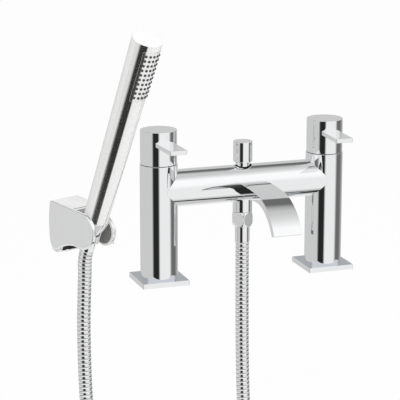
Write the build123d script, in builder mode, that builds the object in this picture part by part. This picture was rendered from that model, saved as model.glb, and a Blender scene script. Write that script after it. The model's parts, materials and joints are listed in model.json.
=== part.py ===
from build123d import *
from math import cos, pi, radians, sin, sqrt, tan
import os

# Bath shower mixer: two deck pillars joined by a bridge tube, quarter turn lever handles, a curved
# spout, a pull-up diverter, and a stick handset on a ribbed hose in a swivelling wall bracket.
# X runs along the pillars, -Y is the front, Z is up. The origin is on the deck, midway.

os.makedirs("parts", exist_ok=True)

# Clearances, in millimetres
cut_overrun = 1.0
fit_gap = 0.05
seat_gap = 0.1
body_gap = 0.3
edge_break = 0.4

# Pillars and square flange plates
pillar_distance = 180.0
pillar_diameter = 38.3
pillar_height = 122.6
inlet_radius = 12.05
inlet_depth = 20.0
supply_radius = 8.0
chamber_radius = 12.5
chamber_depth = 38.6
plate_side = 49.1
plate_thickness = 5.1
gasket_inner_radius = 20.4
gasket_width = 2.4
gasket_thickness = 1.5

# Quarter turn cartridges
cartridge_barrel_radius = 10.4
cartridge_barrel_height = 19.0
cartridge_bore_radius = 8.7
cartridge_bore_depth = 13.0
cartridge_neck_radius = 9.0
cartridge_neck_height = 6.4
seat_seal_thickness = 2.0
seat_seal_bore = 5.0
disc_thickness = 3.0
disc_port_radius = 2.4
disc_port_offset = 4.8
window_radius = 1.6
ring_cord_radius = 0.85
ring_height = 23.0
spindle_radius = 4.0
driver_thickness = 2.5

# Lever handles
handle_diameter = 37.2
handle_height = 34.6
split_gap = 0.4
handle_cavity_radius = 14.5
handle_cavity_depth = 10.0
spindle_socket_depth = 14.0
lever_width = 17.7
lever_thickness = 4.4
lever_reach = 58.3
lever_root = 9.0
lever_below_top = 10.2
lever_corner = 0.8
left_lever_turn = 2.07
right_lever_turn = -2.81
grub_radius = 2.0
grub_length = 8.0
grub_height = 17.0
grub_key_radius = 0.9
grub_key_depth = 2.5

# Bridge tube
tube_diameter = 38.0
tube_below_pillar_top = 26.6
tube_wall = 3.45
tube_end_wall = 28.0
spigot_radius = 8.0
spigot_wall = 2.0
spigot_stop = 13.0

# Spout, drawn from the side: reach is from the tube's axis to the tip, shares are of that reach,
# and a rise or drop is above or below the tube's axis
spout_width = 29.4
spout_wall = 1.7
spout_tail = 14.0
spout_reach = 126.5
spout_root_rise = 6.6
spout_root_depth = 10.4
spout_crown_share = 0.411
spout_crown_rise = 7.8
spout_bend_share = 0.6325
spout_bend_rise = 6.6
spout_tip_drop = 24.2
spout_lip_share = 0.95
spout_lip_drop = 26.5
spout_under_bend_share = 0.585
spout_under_bend_drop = 1.8
spout_under_hook_share = 0.85
spout_under_hook_drop = 11.6

# Pull-up diverter
knob_diameter = 19.6
knob_height = 19.2
knob_above_tube = 24.8
knob_rounding = 2.6
knob_neck_radius = 5.5
knob_neck_depth = 8.9
diverter_lift = 8.0
bush_radius = 9.2
bush_top_below_tube = 1.95
bush_recess_depth = 4.5
rod_radius = 3.0
rod_tip_depth = 1.0
plunger_radius = 8.6
plunger_thickness = 3.0
plunger_washer_thickness = 1.5

# Hose outlet under the tube
outlet_radius = 10.0
outlet_bore = 5.5
outlet_thread_radius = 8.4
outlet_seat_rise = 1.5
outlet_shoulder_drop = 10.7
nut_corner_radius = 11.3
nut_height = 14.8
nut_lip = 0.9
nut_turn = 13.0
nut_crown_share = 0.86
collar_thickness = 1.1
collar_play = 0.1
ferrule_radius = 7.6
ferrule_length = 17.5
ferrule_neck_radius = 6.7
hose_washer_thickness = 1.4

# Ribbed hose: nominal 1.5 m over its nuts
hose_diameter = 14.0
hose_bore = 9.0
rib_pitch = 4.4
rib_depth = 0.65
strand_lead = 32.0
strand_bend_rise = 58.0
strand_bend_cut = 21.2
strand_bend_run = 100.5
hose_floor = -200.0
coil_layer_step = 16.0
coil_loop_offset = 89.0

# Wall bracket, turned about the vertical; out is away from its wall, along its axle is "across"
bracket_yaw = 24.0
bracket_x = -165.0
bracket_half_width = 18.5
bracket_wall_back = 38.0
bracket_top_back = 86.4
bracket_top_front = 83.6
bracket_top_front_out = 3.8
cheek_thickness = 4.1
nose_radius = 18.4
nose_out = 12.9
nose_height = 64.6
cheek_foot_out = 15.3
cheek_foot_height = 45.9
slant_out = -1.1
slant_height = 46.7
heel_out = -27.0
heel_height = 37.2
heel_rounding = 11.0
cover_wall = 2.4
block_front_out = -4.0
hollow_front_back = 18.5
mount_plate_thickness = 4.0
mount_tongue_thickness = 3.0
mount_tongue_drop = 3.2
mount_tongue_reach = 15.0
wall_screw_spacing = 24.0
wall_screw_radius = 2.3

# Cradle, its pivot and the round end disc
swivel_out = 6.5
swivel_height = 58.1
cradle_wall = 2.0
cradle_above = 10.0
cradle_below = 12.0
cradle_slot = 14.8
hub_radius = 9.0
pivot_radius = 4.0
pivot_sink = 3.2
disc_radius = 15.5
disc_edge = 0.8
end_disc_thickness = 4.0
grip_washer_radius = 12.4
grip_washer_thickness = 1.0
disc_stud_radius = 3.4
disc_stud_length = 2.6
nub_radius = 1.1
nub_rise = 1.6
nub_angle = -40.0

# Stick handset: heights are measured along its axis from the swivel
handset_lean = 22.8
handset_top = 222.9
handset_bottom = 18.0
handset_top_diameter = 30.0
handset_bottom_diameter = 25.0
handset_wall = 1.8
cap_thickness = 1.6
cap_plug_depth = 5.0
cap_plug_wall = 2.0
spray_margin = 7.5
spray_length = 54.0
spray_width = 21.4
spray_plate_thickness = 1.6
spray_mat_thickness = 1.4
nozzle_rows = 10
nozzle_columns = 5
nozzle_row_pitch = 5.0
nozzle_column_pitch = 4.2
nozzle_radius = 1.15
nozzle_rise = 0.7
connector_flange = 3.0
connector_radius = 8.4
connector_length = 16.0
connector_bore = 5.0
cone_top_radius = 12.4
cone_bottom_radius = 7.4
cone_drop = 19.6


def section(outline, plane):
    """The face inside a closed outline of (across, up) points on a plane."""
    with BuildSketch(plane) as drawn:
        with BuildLine():
            Polyline(*outline, close=True)
        make_face()
    return drawn.sketch


def ring(inner, outer, bottom, top):
    """Corners of the section of a plain ring, washer or sleeve."""
    return [(inner, bottom), (outer, bottom), (outer, top), (inner, top)]


def facing_front(x):
    """Upright plane through x: across is to the right, up is up."""
    return Plane(origin=(x, 0, 0), x_dir=(1, 0, 0), z_dir=(0, -1, 0))


# Levels and radii that several pieces share
pillar_radius = pillar_diameter / 2
chamber_floor = pillar_height - chamber_depth
handle_radius = handle_diameter / 2
handle_bottom = pillar_height + split_gap
handle_top = handle_bottom + handle_height
cavity_top = handle_bottom + handle_cavity_depth
socket_top = cavity_top + spindle_socket_depth
lever_top = handle_top - lever_below_top
disc_seat = chamber_floor + seat_seal_thickness
moving_disc_bottom = disc_seat + disc_thickness
driver_bottom = moving_disc_bottom + disc_thickness
cartridge_shoulder = chamber_floor + cartridge_bore_depth
cartridge_thread_bottom = chamber_floor + cartridge_barrel_height
cartridge_top = pillar_height + cartridge_neck_height
tube_height = pillar_height - tube_below_pillar_top
tube_radius = tube_diameter / 2
tube_bore_radius = tube_radius - tube_wall
tube_plane = Plane(origin=(0, 0, tube_height), x_dir=(0, 1, 0), z_dir=(1, 0, 0))

# Pillars, cartridges and handles, one set for each side
for side, sign, lever_turn in (("left", -1, left_lever_turn), ("right", 1, right_lever_turn)):
    pillar_x = sign * pillar_distance / 2
    post = Axis((pillar_x, 0, 0), (0, 0, 1))
    post_plane = facing_front(pillar_x)
    foot = Plane((pillar_x, 0, 0))
    lever_plane = Plane(foot.origin).rotated((0, 0, lever_turn))

    with BuildPart() as pillar:
        pillar_wall = [
            (inlet_radius, 0),
            (pillar_radius, 0),
            (pillar_radius, pillar_height - edge_break),
            (pillar_radius - edge_break, pillar_height),
            (chamber_radius, pillar_height),
            (chamber_radius, chamber_floor),
            (supply_radius, chamber_floor),
            (supply_radius, inlet_depth),
            (inlet_radius, inlet_depth),
        ]
        revolve(section(pillar_wall, post_plane), axis=post)
        with BuildSketch(Plane(origin=(pillar_x, 0, tube_height), z_dir=(-sign, 0, 0))):
            Circle(spigot_radius + fit_gap)
        extrude(amount=pillar_radius + cut_overrun, mode=Mode.SUBTRACT)
    pillar.part.label = f"{side}_pillar"
    export_step(pillar.part, f"parts/{side}_pillar.step")

    with BuildPart() as flange_plate:
        with BuildSketch(foot):
            Rectangle(plate_side, plate_side)
        extrude(amount=plate_thickness)
        chamfer(flange_plate.faces().sort_by(Axis.Z)[-1].edges(), length=edge_break)
        with BuildSketch(foot):
            Circle(pillar_radius + fit_gap)
        extrude(amount=plate_thickness, mode=Mode.SUBTRACT)
        with BuildSketch(foot):
            Circle(gasket_inner_radius + gasket_width)
            Circle(gasket_inner_radius, mode=Mode.SUBTRACT)
        extrude(amount=gasket_thickness, mode=Mode.SUBTRACT)
    flange_plate.part.label = f"{side}_flange_plate"
    export_step(flange_plate.part, f"parts/{side}_flange_plate.step")

    with BuildPart() as base_gasket:
        with BuildSketch(foot):
            Circle(gasket_inner_radius + gasket_width - fit_gap)
            Circle(gasket_inner_radius + fit_gap, mode=Mode.SUBTRACT)
        extrude(amount=gasket_thickness)
    base_gasket.part.label = f"{side}_base_gasket"
    export_step(base_gasket.part, f"parts/{side}_base_gasket.step")

    with BuildPart() as cartridge_body:
        cartridge_wall = [
            (cartridge_bore_radius, chamber_floor),
            (cartridge_barrel_radius, chamber_floor),
            (cartridge_barrel_radius, cartridge_thread_bottom),
            (chamber_radius - seat_gap, cartridge_thread_bottom),
            (chamber_radius - seat_gap, pillar_height),
            (cartridge_neck_radius, pillar_height),
            (cartridge_neck_radius, cartridge_top),
            (spindle_radius + fit_gap, cartridge_top),
            (spindle_radius + fit_gap, cartridge_shoulder),
            (cartridge_bore_radius, cartridge_shoulder),
        ]
        revolve(section(cartridge_wall, post_plane), axis=post)
        groove = ring(
            chamber_radius - 2 * ring_cord_radius,
            chamber_radius,
            chamber_floor + ring_height - ring_cord_radius - fit_gap,
            chamber_floor + ring_height + ring_cord_radius + fit_gap,
        )
        revolve(section(groove, post_plane), axis=post, mode=Mode.SUBTRACT)
        with BuildSketch(Plane(origin=(pillar_x, 0, driver_bottom + window_radius), z_dir=(1, 0, 0))):
            Circle(window_radius)
        extrude(amount=cartridge_barrel_radius + cut_overrun, both=True, mode=Mode.SUBTRACT)
    cartridge_body.part.label = f"{side}_cartridge_body"
    export_step(cartridge_body.part, f"parts/{side}_cartridge_body.step")

    with BuildPart() as cartridge_ring:
        with BuildSketch(post_plane):
            with Locations((chamber_radius - ring_cord_radius - fit_gap, chamber_floor + ring_height)):
                Circle(ring_cord_radius - fit_gap)
        revolve(axis=post)
    cartridge_ring.part.label = f"{side}_cartridge_ring"
    export_step(cartridge_ring.part, f"parts/{side}_cartridge_ring.step")

    with BuildPart() as seat_seal:
        seal_ring = ring(seat_seal_bore, cartridge_bore_radius - fit_gap, chamber_floor, disc_seat)
        revolve(section(seal_ring, post_plane), axis=post)
    seat_seal.part.label = f"{side}_seat_seal"
    export_step(seat_seal.part, f"parts/{side}_seat_seal.step")

    with BuildPart() as fixed_disc:
        with BuildSketch(foot.offset(disc_seat)):
            Circle(cartridge_bore_radius - fit_gap)
            with PolarLocations(disc_port_offset, 2):
                Circle(disc_port_radius, mode=Mode.SUBTRACT)
        extrude(amount=disc_thickness)
    fixed_disc.part.label = f"{side}_fixed_disc"
    export_step(fixed_disc.part, f"parts/{side}_fixed_disc.step")

    with BuildPart() as moving_disc:
        with BuildSketch(foot.offset(moving_disc_bottom)):
            Circle(cartridge_bore_radius - body_gap)
            with PolarLocations(disc_port_offset, 2, start_angle=90):
                Circle(disc_port_radius, mode=Mode.SUBTRACT)
        extrude(amount=disc_thickness)
    moving_disc.part.label = f"{side}_moving_disc"
    export_step(moving_disc.part, f"parts/{side}_moving_disc.step")

    with BuildPart() as spindle:
        spindle_outline = [
            (0, driver_bottom),
            (cartridge_bore_radius - body_gap, driver_bottom),
            (cartridge_bore_radius - body_gap, driver_bottom + driver_thickness),
            (spindle_radius, driver_bottom + driver_thickness),
            (spindle_radius, socket_top - fit_gap),
            (0, socket_top - fit_gap),
        ]
        revolve(section(spindle_outline, post_plane), axis=post)
    spindle.part.label = f"{side}_spindle"
    export_step(spindle.part, f"parts/{side}_spindle.step")

    with BuildPart() as handle:
        handle_outline = [
            (handle_cavity_radius, handle_bottom),
            (handle_radius - edge_break, handle_bottom),
            (handle_radius, handle_bottom + edge_break),
            (handle_radius, handle_top - edge_break),
            (handle_radius - edge_break, handle_top),
            (0, handle_top),
            (0, socket_top),
            (spindle_radius + fit_gap, socket_top),
            (spindle_radius + fit_gap, cavity_top),
            (handle_cavity_radius, cavity_top),
        ]
        revolve(section(handle_outline, post_plane), axis=post)
        with BuildSketch(lever_plane.offset(lever_top - lever_thickness - fit_gap)):
            with Locations((0, -lever_root)):
                Rectangle(
                    lever_width + 2 * fit_gap,
                    handle_radius + cut_overrun,
                    align=(Align.CENTER, Align.MAX),
                )
        extrude(amount=lever_thickness + 2 * fit_gap, mode=Mode.SUBTRACT)
        back = Plane(origin=(pillar_x, 0, handle_bottom + grub_height), z_dir=(0, 1, 0))
        with BuildSketch(back):
            Circle(grub_radius + fit_gap)
        extrude(amount=handle_radius + cut_overrun, mode=Mode.SUBTRACT)
    handle.part.label = f"{side}_handle"
    export_step(handle.part, f"parts/{side}_handle.step")

    with BuildPart() as lever:
        with BuildSketch(lever_plane.offset(lever_top - lever_thickness)) as lever_shape:
            with Locations((0, -lever_root - fit_gap)):
                Rectangle(lever_width, lever_reach - lever_root, align=(Align.CENTER, Align.MAX))
            fillet(lever_shape.vertices().group_by(Axis.Y)[0], radius=lever_corner)
        extrude(amount=lever_thickness)
    lever.part.label = f"{side}_lever"
    export_step(lever.part, f"parts/{side}_lever.step")

    with BuildPart() as grub_screw:
        with BuildSketch(back.offset(spindle_radius + fit_gap)):
            Circle(grub_radius)
        extrude(amount=grub_length)
        with BuildSketch(back.offset(spindle_radius + fit_gap + grub_length - grub_key_depth)):
            RegularPolygon(radius=grub_key_radius, side_count=6)
        extrude(amount=grub_key_depth, mode=Mode.SUBTRACT)
    grub_screw.part.label = f"{side}_grub_screw"
    export_step(grub_screw.part, f"parts/{side}_grub_screw.step")

# Bridge tube: saddle ends against the pillars, a spigot into each chamber, three openings midway
spigot_end = pillar_distance / 2 - spigot_stop
bore_end = pillar_distance / 2 - tube_end_wall
tube_top = tube_height + tube_radius
tube_bottom = tube_height - tube_radius
spout_root_top = tube_height + spout_root_rise
spout_root_bottom = spout_root_top - spout_root_depth
spout_tip = (-spout_reach, tube_height - spout_tip_drop)
spout_lip = (-spout_reach * spout_lip_share, tube_height - spout_lip_drop)

with BuildPart() as bridge_tube:
    with BuildSketch(tube_plane):
        Circle(tube_radius)
    extrude(amount=pillar_distance / 2, both=True)
    with BuildSketch(Plane.XY):
        with GridLocations(pillar_distance, 0, 2, 1):
            Circle(pillar_radius + seat_gap)
    extrude(amount=pillar_height, mode=Mode.SUBTRACT)
    with BuildSketch(tube_plane):
        Circle(spigot_radius)
    extrude(amount=spigot_end, both=True)
    with BuildSketch(tube_plane):
        Circle(tube_bore_radius)
    extrude(amount=bore_end, both=True, mode=Mode.SUBTRACT)
    with BuildSketch(tube_plane):
        Circle(spigot_radius - spigot_wall)
    extrude(amount=spigot_end + cut_overrun, both=True, mode=Mode.SUBTRACT)
    with BuildSketch(Plane.XY.offset(tube_height)):
        Circle(bush_radius + fit_gap)
    extrude(amount=tube_radius + cut_overrun, mode=Mode.SUBTRACT)
    with BuildSketch(Plane.XY.offset(tube_height)):
        Circle(outlet_radius + fit_gap)
    extrude(amount=-tube_radius - cut_overrun, mode=Mode.SUBTRACT)
    with BuildSketch(Plane.XZ):
        with Locations((0, spout_root_bottom + spout_root_depth / 2)):
            Rectangle(spout_width + 2 * fit_gap, spout_root_depth + 2 * fit_gap)
    extrude(amount=tube_radius + cut_overrun, mode=Mode.SUBTRACT)
bridge_tube.part.label = "bridge_tube"
export_step(bridge_tube.part, "parts/bridge_tube.step")


def spout_side(inset):
    """Side face of the spout, drawn in from its top, its underside and its lip by an inset."""
    lip_length = sqrt((spout_lip[0] - spout_tip[0]) ** 2 + (spout_tip[1] - spout_lip[1]) ** 2)
    lip_in = inset * (spout_lip[0] - spout_tip[0]) / lip_length
    lip_down = inset * (spout_tip[1] - spout_lip[1]) / lip_length
    tail = (-spout_tail, spout_root_top - inset)
    root = (-tube_radius - seat_gap, spout_root_top - inset)
    crown = (-spout_reach * spout_crown_share, tube_height + spout_crown_rise - inset)
    bend = (-spout_reach * spout_bend_share, tube_height + spout_bend_rise - inset)
    tip = (spout_tip[0] + lip_in, spout_tip[1] - lip_down)
    lip = (spout_lip[0] - lip_in, spout_lip[1] + lip_down)
    hook_step = inset * sin(radians(45))
    hook = (-spout_reach * spout_under_hook_share - hook_step, tube_height - spout_under_hook_drop + hook_step)
    under_bend = (-spout_reach * spout_under_bend_share, tube_height - spout_under_bend_drop + inset)
    under_root = (-tube_radius - seat_gap, spout_root_bottom + inset)
    under_tail = (-spout_tail, spout_root_bottom + inset)
    with BuildSketch(Plane.YZ) as drawn:
        with BuildLine():
            Line(tail, root)
            top_run = ThreePointArc(root, crown, bend)
            TangentArc(bend, tip, tangent=top_run % 1)
            Line(tip, lip)
            under_curve = ThreePointArc(lip, hook, under_bend)
            TangentArc(under_bend, under_root, tangent=under_curve % 1)
            Polyline(under_root, under_tail, tail)
        make_face()
    return drawn.sketch


with BuildPart() as spout:
    extrude(spout_side(0), amount=spout_width / 2, both=True)
    extrude(spout_side(spout_wall), amount=spout_width / 2 - spout_wall, both=True, mode=Mode.SUBTRACT)
spout.part.label = "spout"
export_step(spout.part, "parts/spout.step")

# Diverter: a bush in the tube's top guides the rod, whose plunger closes the hose outlet at rest
centre_plane = facing_front(0)
bush_top = tube_top - bush_top_below_tube
bush_floor = bush_top - bush_recess_depth
outlet_seat = tube_height - tube_bore_radius + outlet_seat_rise
plunger_bottom = outlet_seat + plunger_washer_thickness
plunger_top = plunger_bottom + plunger_thickness
upper_washer_top = plunger_top + plunger_washer_thickness
bush_bottom = upper_washer_top + diverter_lift + body_gap
knob_top = tube_top + knob_above_tube
knob_bottom = knob_top - knob_height
knob_radius = knob_diameter / 2
neck_bottom = knob_bottom - knob_rounding - knob_neck_depth
rod_top = knob_bottom + knob_height / 4

with BuildPart() as diverter_guide_bush:
    bush_outline = [
        (rod_radius + fit_gap, bush_bottom),
        (bush_radius, bush_bottom),
        (bush_radius, bush_top),
        (knob_neck_radius + body_gap, bush_top),
        (knob_neck_radius + body_gap, bush_floor),
        (rod_radius + fit_gap, bush_floor),
    ]
    revolve(section(bush_outline, centre_plane), axis=Axis.Z)
diverter_guide_bush.part.label = "diverter_guide_bush"
export_step(diverter_guide_bush.part, "parts/diverter_guide_bush.step")

with BuildPart() as diverter_knob:
    with BuildSketch(centre_plane):
        with BuildLine():
            Polyline(
                (knob_radius, knob_bottom),
                (knob_radius, knob_top - edge_break),
                (knob_radius - edge_break, knob_top),
                (0, knob_top),
                (0, rod_top),
                (rod_radius + fit_gap, rod_top),
                (rod_radius + fit_gap, neck_bottom),
                (knob_neck_radius, neck_bottom),
                (knob_neck_radius, knob_bottom - knob_rounding),
                (knob_radius - knob_rounding, knob_bottom - knob_rounding),
            )
            TangentArc(
                (knob_radius, knob_bottom),
                (knob_radius - knob_rounding, knob_bottom - knob_rounding),
                tangent=(0, -1),
            )
        make_face()
    revolve(axis=Axis.Z)
diverter_knob.part.label = "diverter_knob"
export_step(diverter_knob.part, "parts/diverter_knob.step")

with BuildPart() as diverter_rod:
    with BuildSketch(Plane.XY.offset(outlet_seat - rod_tip_depth)):
        Circle(rod_radius)
    extrude(amount=rod_top - outlet_seat + rod_tip_depth - fit_gap)
diverter_rod.part.label = "diverter_rod"
export_step(diverter_rod.part, "parts/diverter_rod.step")

with BuildPart() as diverter_plunger:
    plunger_ring = ring(rod_radius + fit_gap, plunger_radius, plunger_bottom, plunger_top)
    revolve(section(plunger_ring, centre_plane), axis=Axis.Z)
diverter_plunger.part.label = "diverter_plunger"
export_step(diverter_plunger.part, "parts/diverter_plunger.step")

with BuildPart() as diverter_washers:
    washer_rim = plunger_radius - edge_break
    lower_washer = ring(rod_radius + fit_gap, washer_rim, outlet_seat, plunger_bottom)
    revolve(section(lower_washer, centre_plane), axis=Axis.Z)
    upper_washer = ring(rod_radius + fit_gap, washer_rim, plunger_top, upper_washer_top)
    revolve(section(upper_washer, centre_plane), axis=Axis.Z)
diverter_washers.part.label = "diverter_washers"
export_step(diverter_washers.part, "parts/diverter_washers.step")

# Hose outlet: spigot, union nut, washer and ferrule
outlet_shoulder = tube_bottom - outlet_shoulder_drop
nut_top = outlet_shoulder - body_gap
nut_bottom = nut_top - nut_height
collar_bottom = nut_bottom + nut_lip + collar_play
collar_top = collar_bottom + collar_thickness
spigot_bottom = collar_top + hose_washer_thickness
ferrule_bottom = nut_bottom - seat_gap - ferrule_length

with BuildPart() as outlet_spigot:
    spigot_outline = [
        (outlet_bore, spigot_bottom),
        (outlet_thread_radius, spigot_bottom),
        (outlet_thread_radius, outlet_shoulder),
        (outlet_radius, outlet_shoulder),
        (outlet_radius, outlet_seat),
        (outlet_bore, outlet_seat),
    ]
    revolve(section(spigot_outline, centre_plane), axis=Axis.Z)
outlet_spigot.part.label = "outlet_spigot"
export_step(outlet_spigot.part, "parts/outlet_spigot.step")

with BuildPart() as outlet_hex_nut:
    with BuildSketch(Plane.XY.offset(nut_bottom)):
        RegularPolygon(radius=nut_corner_radius, side_count=6, rotation=nut_turn)
    extrude(amount=nut_height)
    nut_end_radius = nut_corner_radius * nut_crown_share
    with BuildSketch(centre_plane):
        with BuildLine():
            Polyline(
                (nut_end_radius, nut_bottom),
                (0, nut_bottom),
                (0, nut_top),
                (nut_end_radius, nut_top),
            )
            ThreePointArc(
                (nut_end_radius, nut_top),
                (nut_corner_radius, nut_bottom + nut_height / 2),
                (nut_end_radius, nut_bottom),
            )
        make_face()
    revolve(axis=Axis.Z, mode=Mode.INTERSECT)
    with BuildSketch(Plane.XY.offset(nut_bottom + nut_lip)):
        Circle(outlet_thread_radius + seat_gap)
    extrude(amount=nut_height, mode=Mode.SUBTRACT)
    with BuildSketch(Plane.XY.offset(nut_bottom)):
        Circle(ferrule_neck_radius + seat_gap)
    extrude(amount=nut_height, mode=Mode.SUBTRACT)
outlet_hex_nut.part.label = "outlet_hex_nut"
export_step(outlet_hex_nut.part, "parts/outlet_hex_nut.step")

with BuildPart() as outlet_washer:
    outlet_ring = ring(hose_bore / 2, outlet_thread_radius - seat_gap, collar_top, spigot_bottom)
    revolve(section(outlet_ring, centre_plane), axis=Axis.Z)
outlet_washer.part.label = "outlet_washer"
export_step(outlet_washer.part, "parts/outlet_washer.step")

with BuildPart() as outlet_ferrule:
    ferrule_outline = [
        (hose_bore / 2, ferrule_bottom),
        (ferrule_radius, ferrule_bottom),
        (ferrule_radius, nut_bottom - seat_gap),
        (ferrule_neck_radius, nut_bottom - seat_gap),
        (ferrule_neck_radius, collar_bottom),
        (outlet_thread_radius - seat_gap, collar_bottom),
        (outlet_thread_radius - seat_gap, collar_top),
        (hose_bore / 2, collar_top),
    ]
    revolve(section(ferrule_outline, centre_plane), axis=Axis.Z)
outlet_ferrule.part.label = "outlet_ferrule"
export_step(outlet_ferrule.part, "parts/outlet_ferrule.step")

# Directions of the bracket and the handset
across = Vector(cos(radians(bracket_yaw)), sin(radians(bracket_yaw)), 0)
out = Vector(sin(radians(bracket_yaw)), -cos(radians(bracket_yaw)), 0)
upward = Vector(0, 0, 1)
bracket_foot = Vector(bracket_x, 0, 0)
swivel = bracket_foot + out * swivel_out + upward * swivel_height
lean = radians(handset_lean)
handset_dir = out * sin(lean) + upward * cos(lean)
spray_dir = out * cos(lean) - upward * sin(lean)
handset_axis = Axis(swivel, handset_dir)
handset_side = Plane(origin=swivel, x_dir=spray_dir, z_dir=-across)


def bracket_side(place):
    """Upright plane across the bracket at a place along its axle: out, then up."""
    return Plane(origin=bracket_foot + across * place, x_dir=out, z_dir=-across)


def handset_level(height):
    """Plane square to the handset's axis at a height above the swivel."""
    return Plane(origin=swivel + handset_dir * height, x_dir=spray_dir, z_dir=handset_dir)


# Bracket cover: a block, hollow at the wall, whose near cheek has a round nose over the pivot
cheek_inside = bracket_half_width - cheek_thickness
swing_radius = sqrt(cone_drop**2 + cone_bottom_radius**2) + 2 * body_gap
swivel_axis = Axis(swivel, across)
swivel_plane = Plane(origin=swivel, x_dir=across, z_dir=out)
nose_high = (nose_out + nose_radius * cos(radians(75)), nose_height + nose_radius * sin(radians(75)))
nose_tip = (nose_out + nose_radius, nose_height)
nose_low = (nose_out + nose_radius * cos(radians(60)), nose_height - nose_radius * sin(radians(60)))
block_foot = (block_front_out, slant_height + edge_break)
hollow_ceiling = bracket_top_front - cover_wall

with BuildPart() as bracket_cover:
    with BuildSketch(bracket_side(-cheek_inside)):
        with BuildLine():
            Polyline(
                nose_low,
                (cheek_foot_out, cheek_foot_height),
                (slant_out, slant_height),
                (heel_out, heel_height),
                (-bracket_wall_back + heel_rounding, heel_height + edge_break),
            )
            ThreePointArc(
                (-bracket_wall_back + heel_rounding, heel_height + edge_break),
                (
                    -bracket_wall_back + heel_rounding * (1 - sin(radians(45))),
                    heel_height + edge_break + heel_rounding * (1 - cos(radians(45))),
                ),
                (-bracket_wall_back, heel_height + edge_break + heel_rounding),
            )
            Polyline(
                (-bracket_wall_back, heel_height + edge_break + heel_rounding),
                (-bracket_wall_back, bracket_top_back),
                (bracket_top_front_out, bracket_top_front),
                nose_high,
            )
            ThreePointArc(nose_high, nose_tip, nose_low)
        make_face()
    extrude(amount=cheek_thickness)
    with BuildSketch(bracket_side(bracket_half_width)):
        with BuildLine():
            Polyline(
                (-bracket_wall_back, heel_height + edge_break + heel_rounding),
                (-bracket_wall_back, bracket_top_back),
                (block_front_out, bracket_top_front + edge_break),
                block_foot,
                (slant_out + block_front_out, slant_height - edge_break),
                (heel_out, heel_height),
                (-bracket_wall_back + heel_rounding, heel_height + edge_break),
            )
            ThreePointArc(
                (-bracket_wall_back + heel_rounding, heel_height + edge_break),
                (
                    -bracket_wall_back + heel_rounding * (1 - sin(radians(45))),
                    heel_height + edge_break + heel_rounding * (1 - cos(radians(45))),
                ),
                (-bracket_wall_back, heel_height + edge_break + heel_rounding),
            )
        make_face()
    extrude(amount=2 * bracket_half_width)
    with BuildSketch(bracket_side(bracket_half_width - cover_wall)):
        with BuildLine():
            Polyline(
                (-bracket_wall_back - cut_overrun, heel_height - cut_overrun),
                (-bracket_wall_back - cut_overrun, hollow_ceiling),
                (-hollow_front_back, hollow_ceiling),
                (-hollow_front_back, heel_height - cut_overrun),
                close=True,
            )
        make_face()
    extrude(amount=2 * (bracket_half_width - cover_wall), mode=Mode.SUBTRACT)
    with BuildSketch(bracket_side(bracket_half_width + cut_overrun)):
        with Locations((swivel_out, swivel_height)):
            Circle(swing_radius)
    extrude(amount=bracket_half_width + cut_overrun + cheek_inside, mode=Mode.SUBTRACT)
    with BuildSketch(bracket_side(-cheek_inside + cut_overrun)):
        with Locations((swivel_out, swivel_height)):
            Circle(pivot_radius + fit_gap)
    extrude(amount=pivot_sink + cut_overrun, mode=Mode.SUBTRACT)
bracket_cover.part.label = "bracket_cover"
export_step(bracket_cover.part, "parts/bracket_cover.step")

# Wall mount inside the cover: a screwed plate with a rounded tongue under the cover's slant
mount_half_width = bracket_half_width - cover_wall - body_gap
mount_front = -bracket_wall_back + mount_plate_thickness
mount_bottom = heel_height + edge_break + body_gap
mount_top = hollow_ceiling - body_gap
screw_middle = (mount_bottom + mount_tongue_thickness + mount_top) / 2
tongue_end = mount_front + mount_tongue_reach
tongue_tip_height = mount_bottom + 2 * mount_tongue_thickness

with BuildPart() as bracket_wall_mount:
    with BuildSketch(bracket_side(mount_half_width)):
        with BuildLine():
            Polyline(
                (-bracket_wall_back, mount_bottom),
                (-bracket_wall_back, mount_top),
                (mount_front, mount_top),
                (mount_front, tongue_tip_height),
                (tongue_end, tongue_tip_height),
            )
            ThreePointArc(
                (tongue_end, tongue_tip_height),
                (mount_front + mount_tongue_reach / 2, mount_bottom - mount_tongue_drop),
                (-bracket_wall_back, mount_bottom),
            )
        make_face()
    extrude(amount=2 * mount_half_width)
    with BuildSketch(Plane(bracket_foot - out * bracket_wall_back, x_dir=across, z_dir=out)):
        with Locations(
            (0, screw_middle - wall_screw_spacing / 2),
            (0, screw_middle + wall_screw_spacing / 2),
        ):
            Circle(wall_screw_radius)
    extrude(amount=mount_plate_thickness, mode=Mode.SUBTRACT)
bracket_wall_mount.part.label = "bracket_wall_mount"
export_step(bracket_wall_mount.part, "parts/bracket_wall_mount.step")

# Cradle: a slotted cone with a hub each side, the left one on the pivot in the cheek
cone_height = handset_bottom - seat_gap + cone_drop
cone_slope = (cone_top_radius - cone_bottom_radius) / cone_height


def cone_radius(height):
    """Radius of the conical hose nut at a height above the swivel."""
    return cone_bottom_radius + cone_slope * (height + cone_drop)


rim_outer = cone_radius(cradle_above) + body_gap + cradle_wall
foot_outer = cone_radius(-cradle_below) + body_gap + cradle_wall
hub_end = cheek_inside - body_gap

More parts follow.
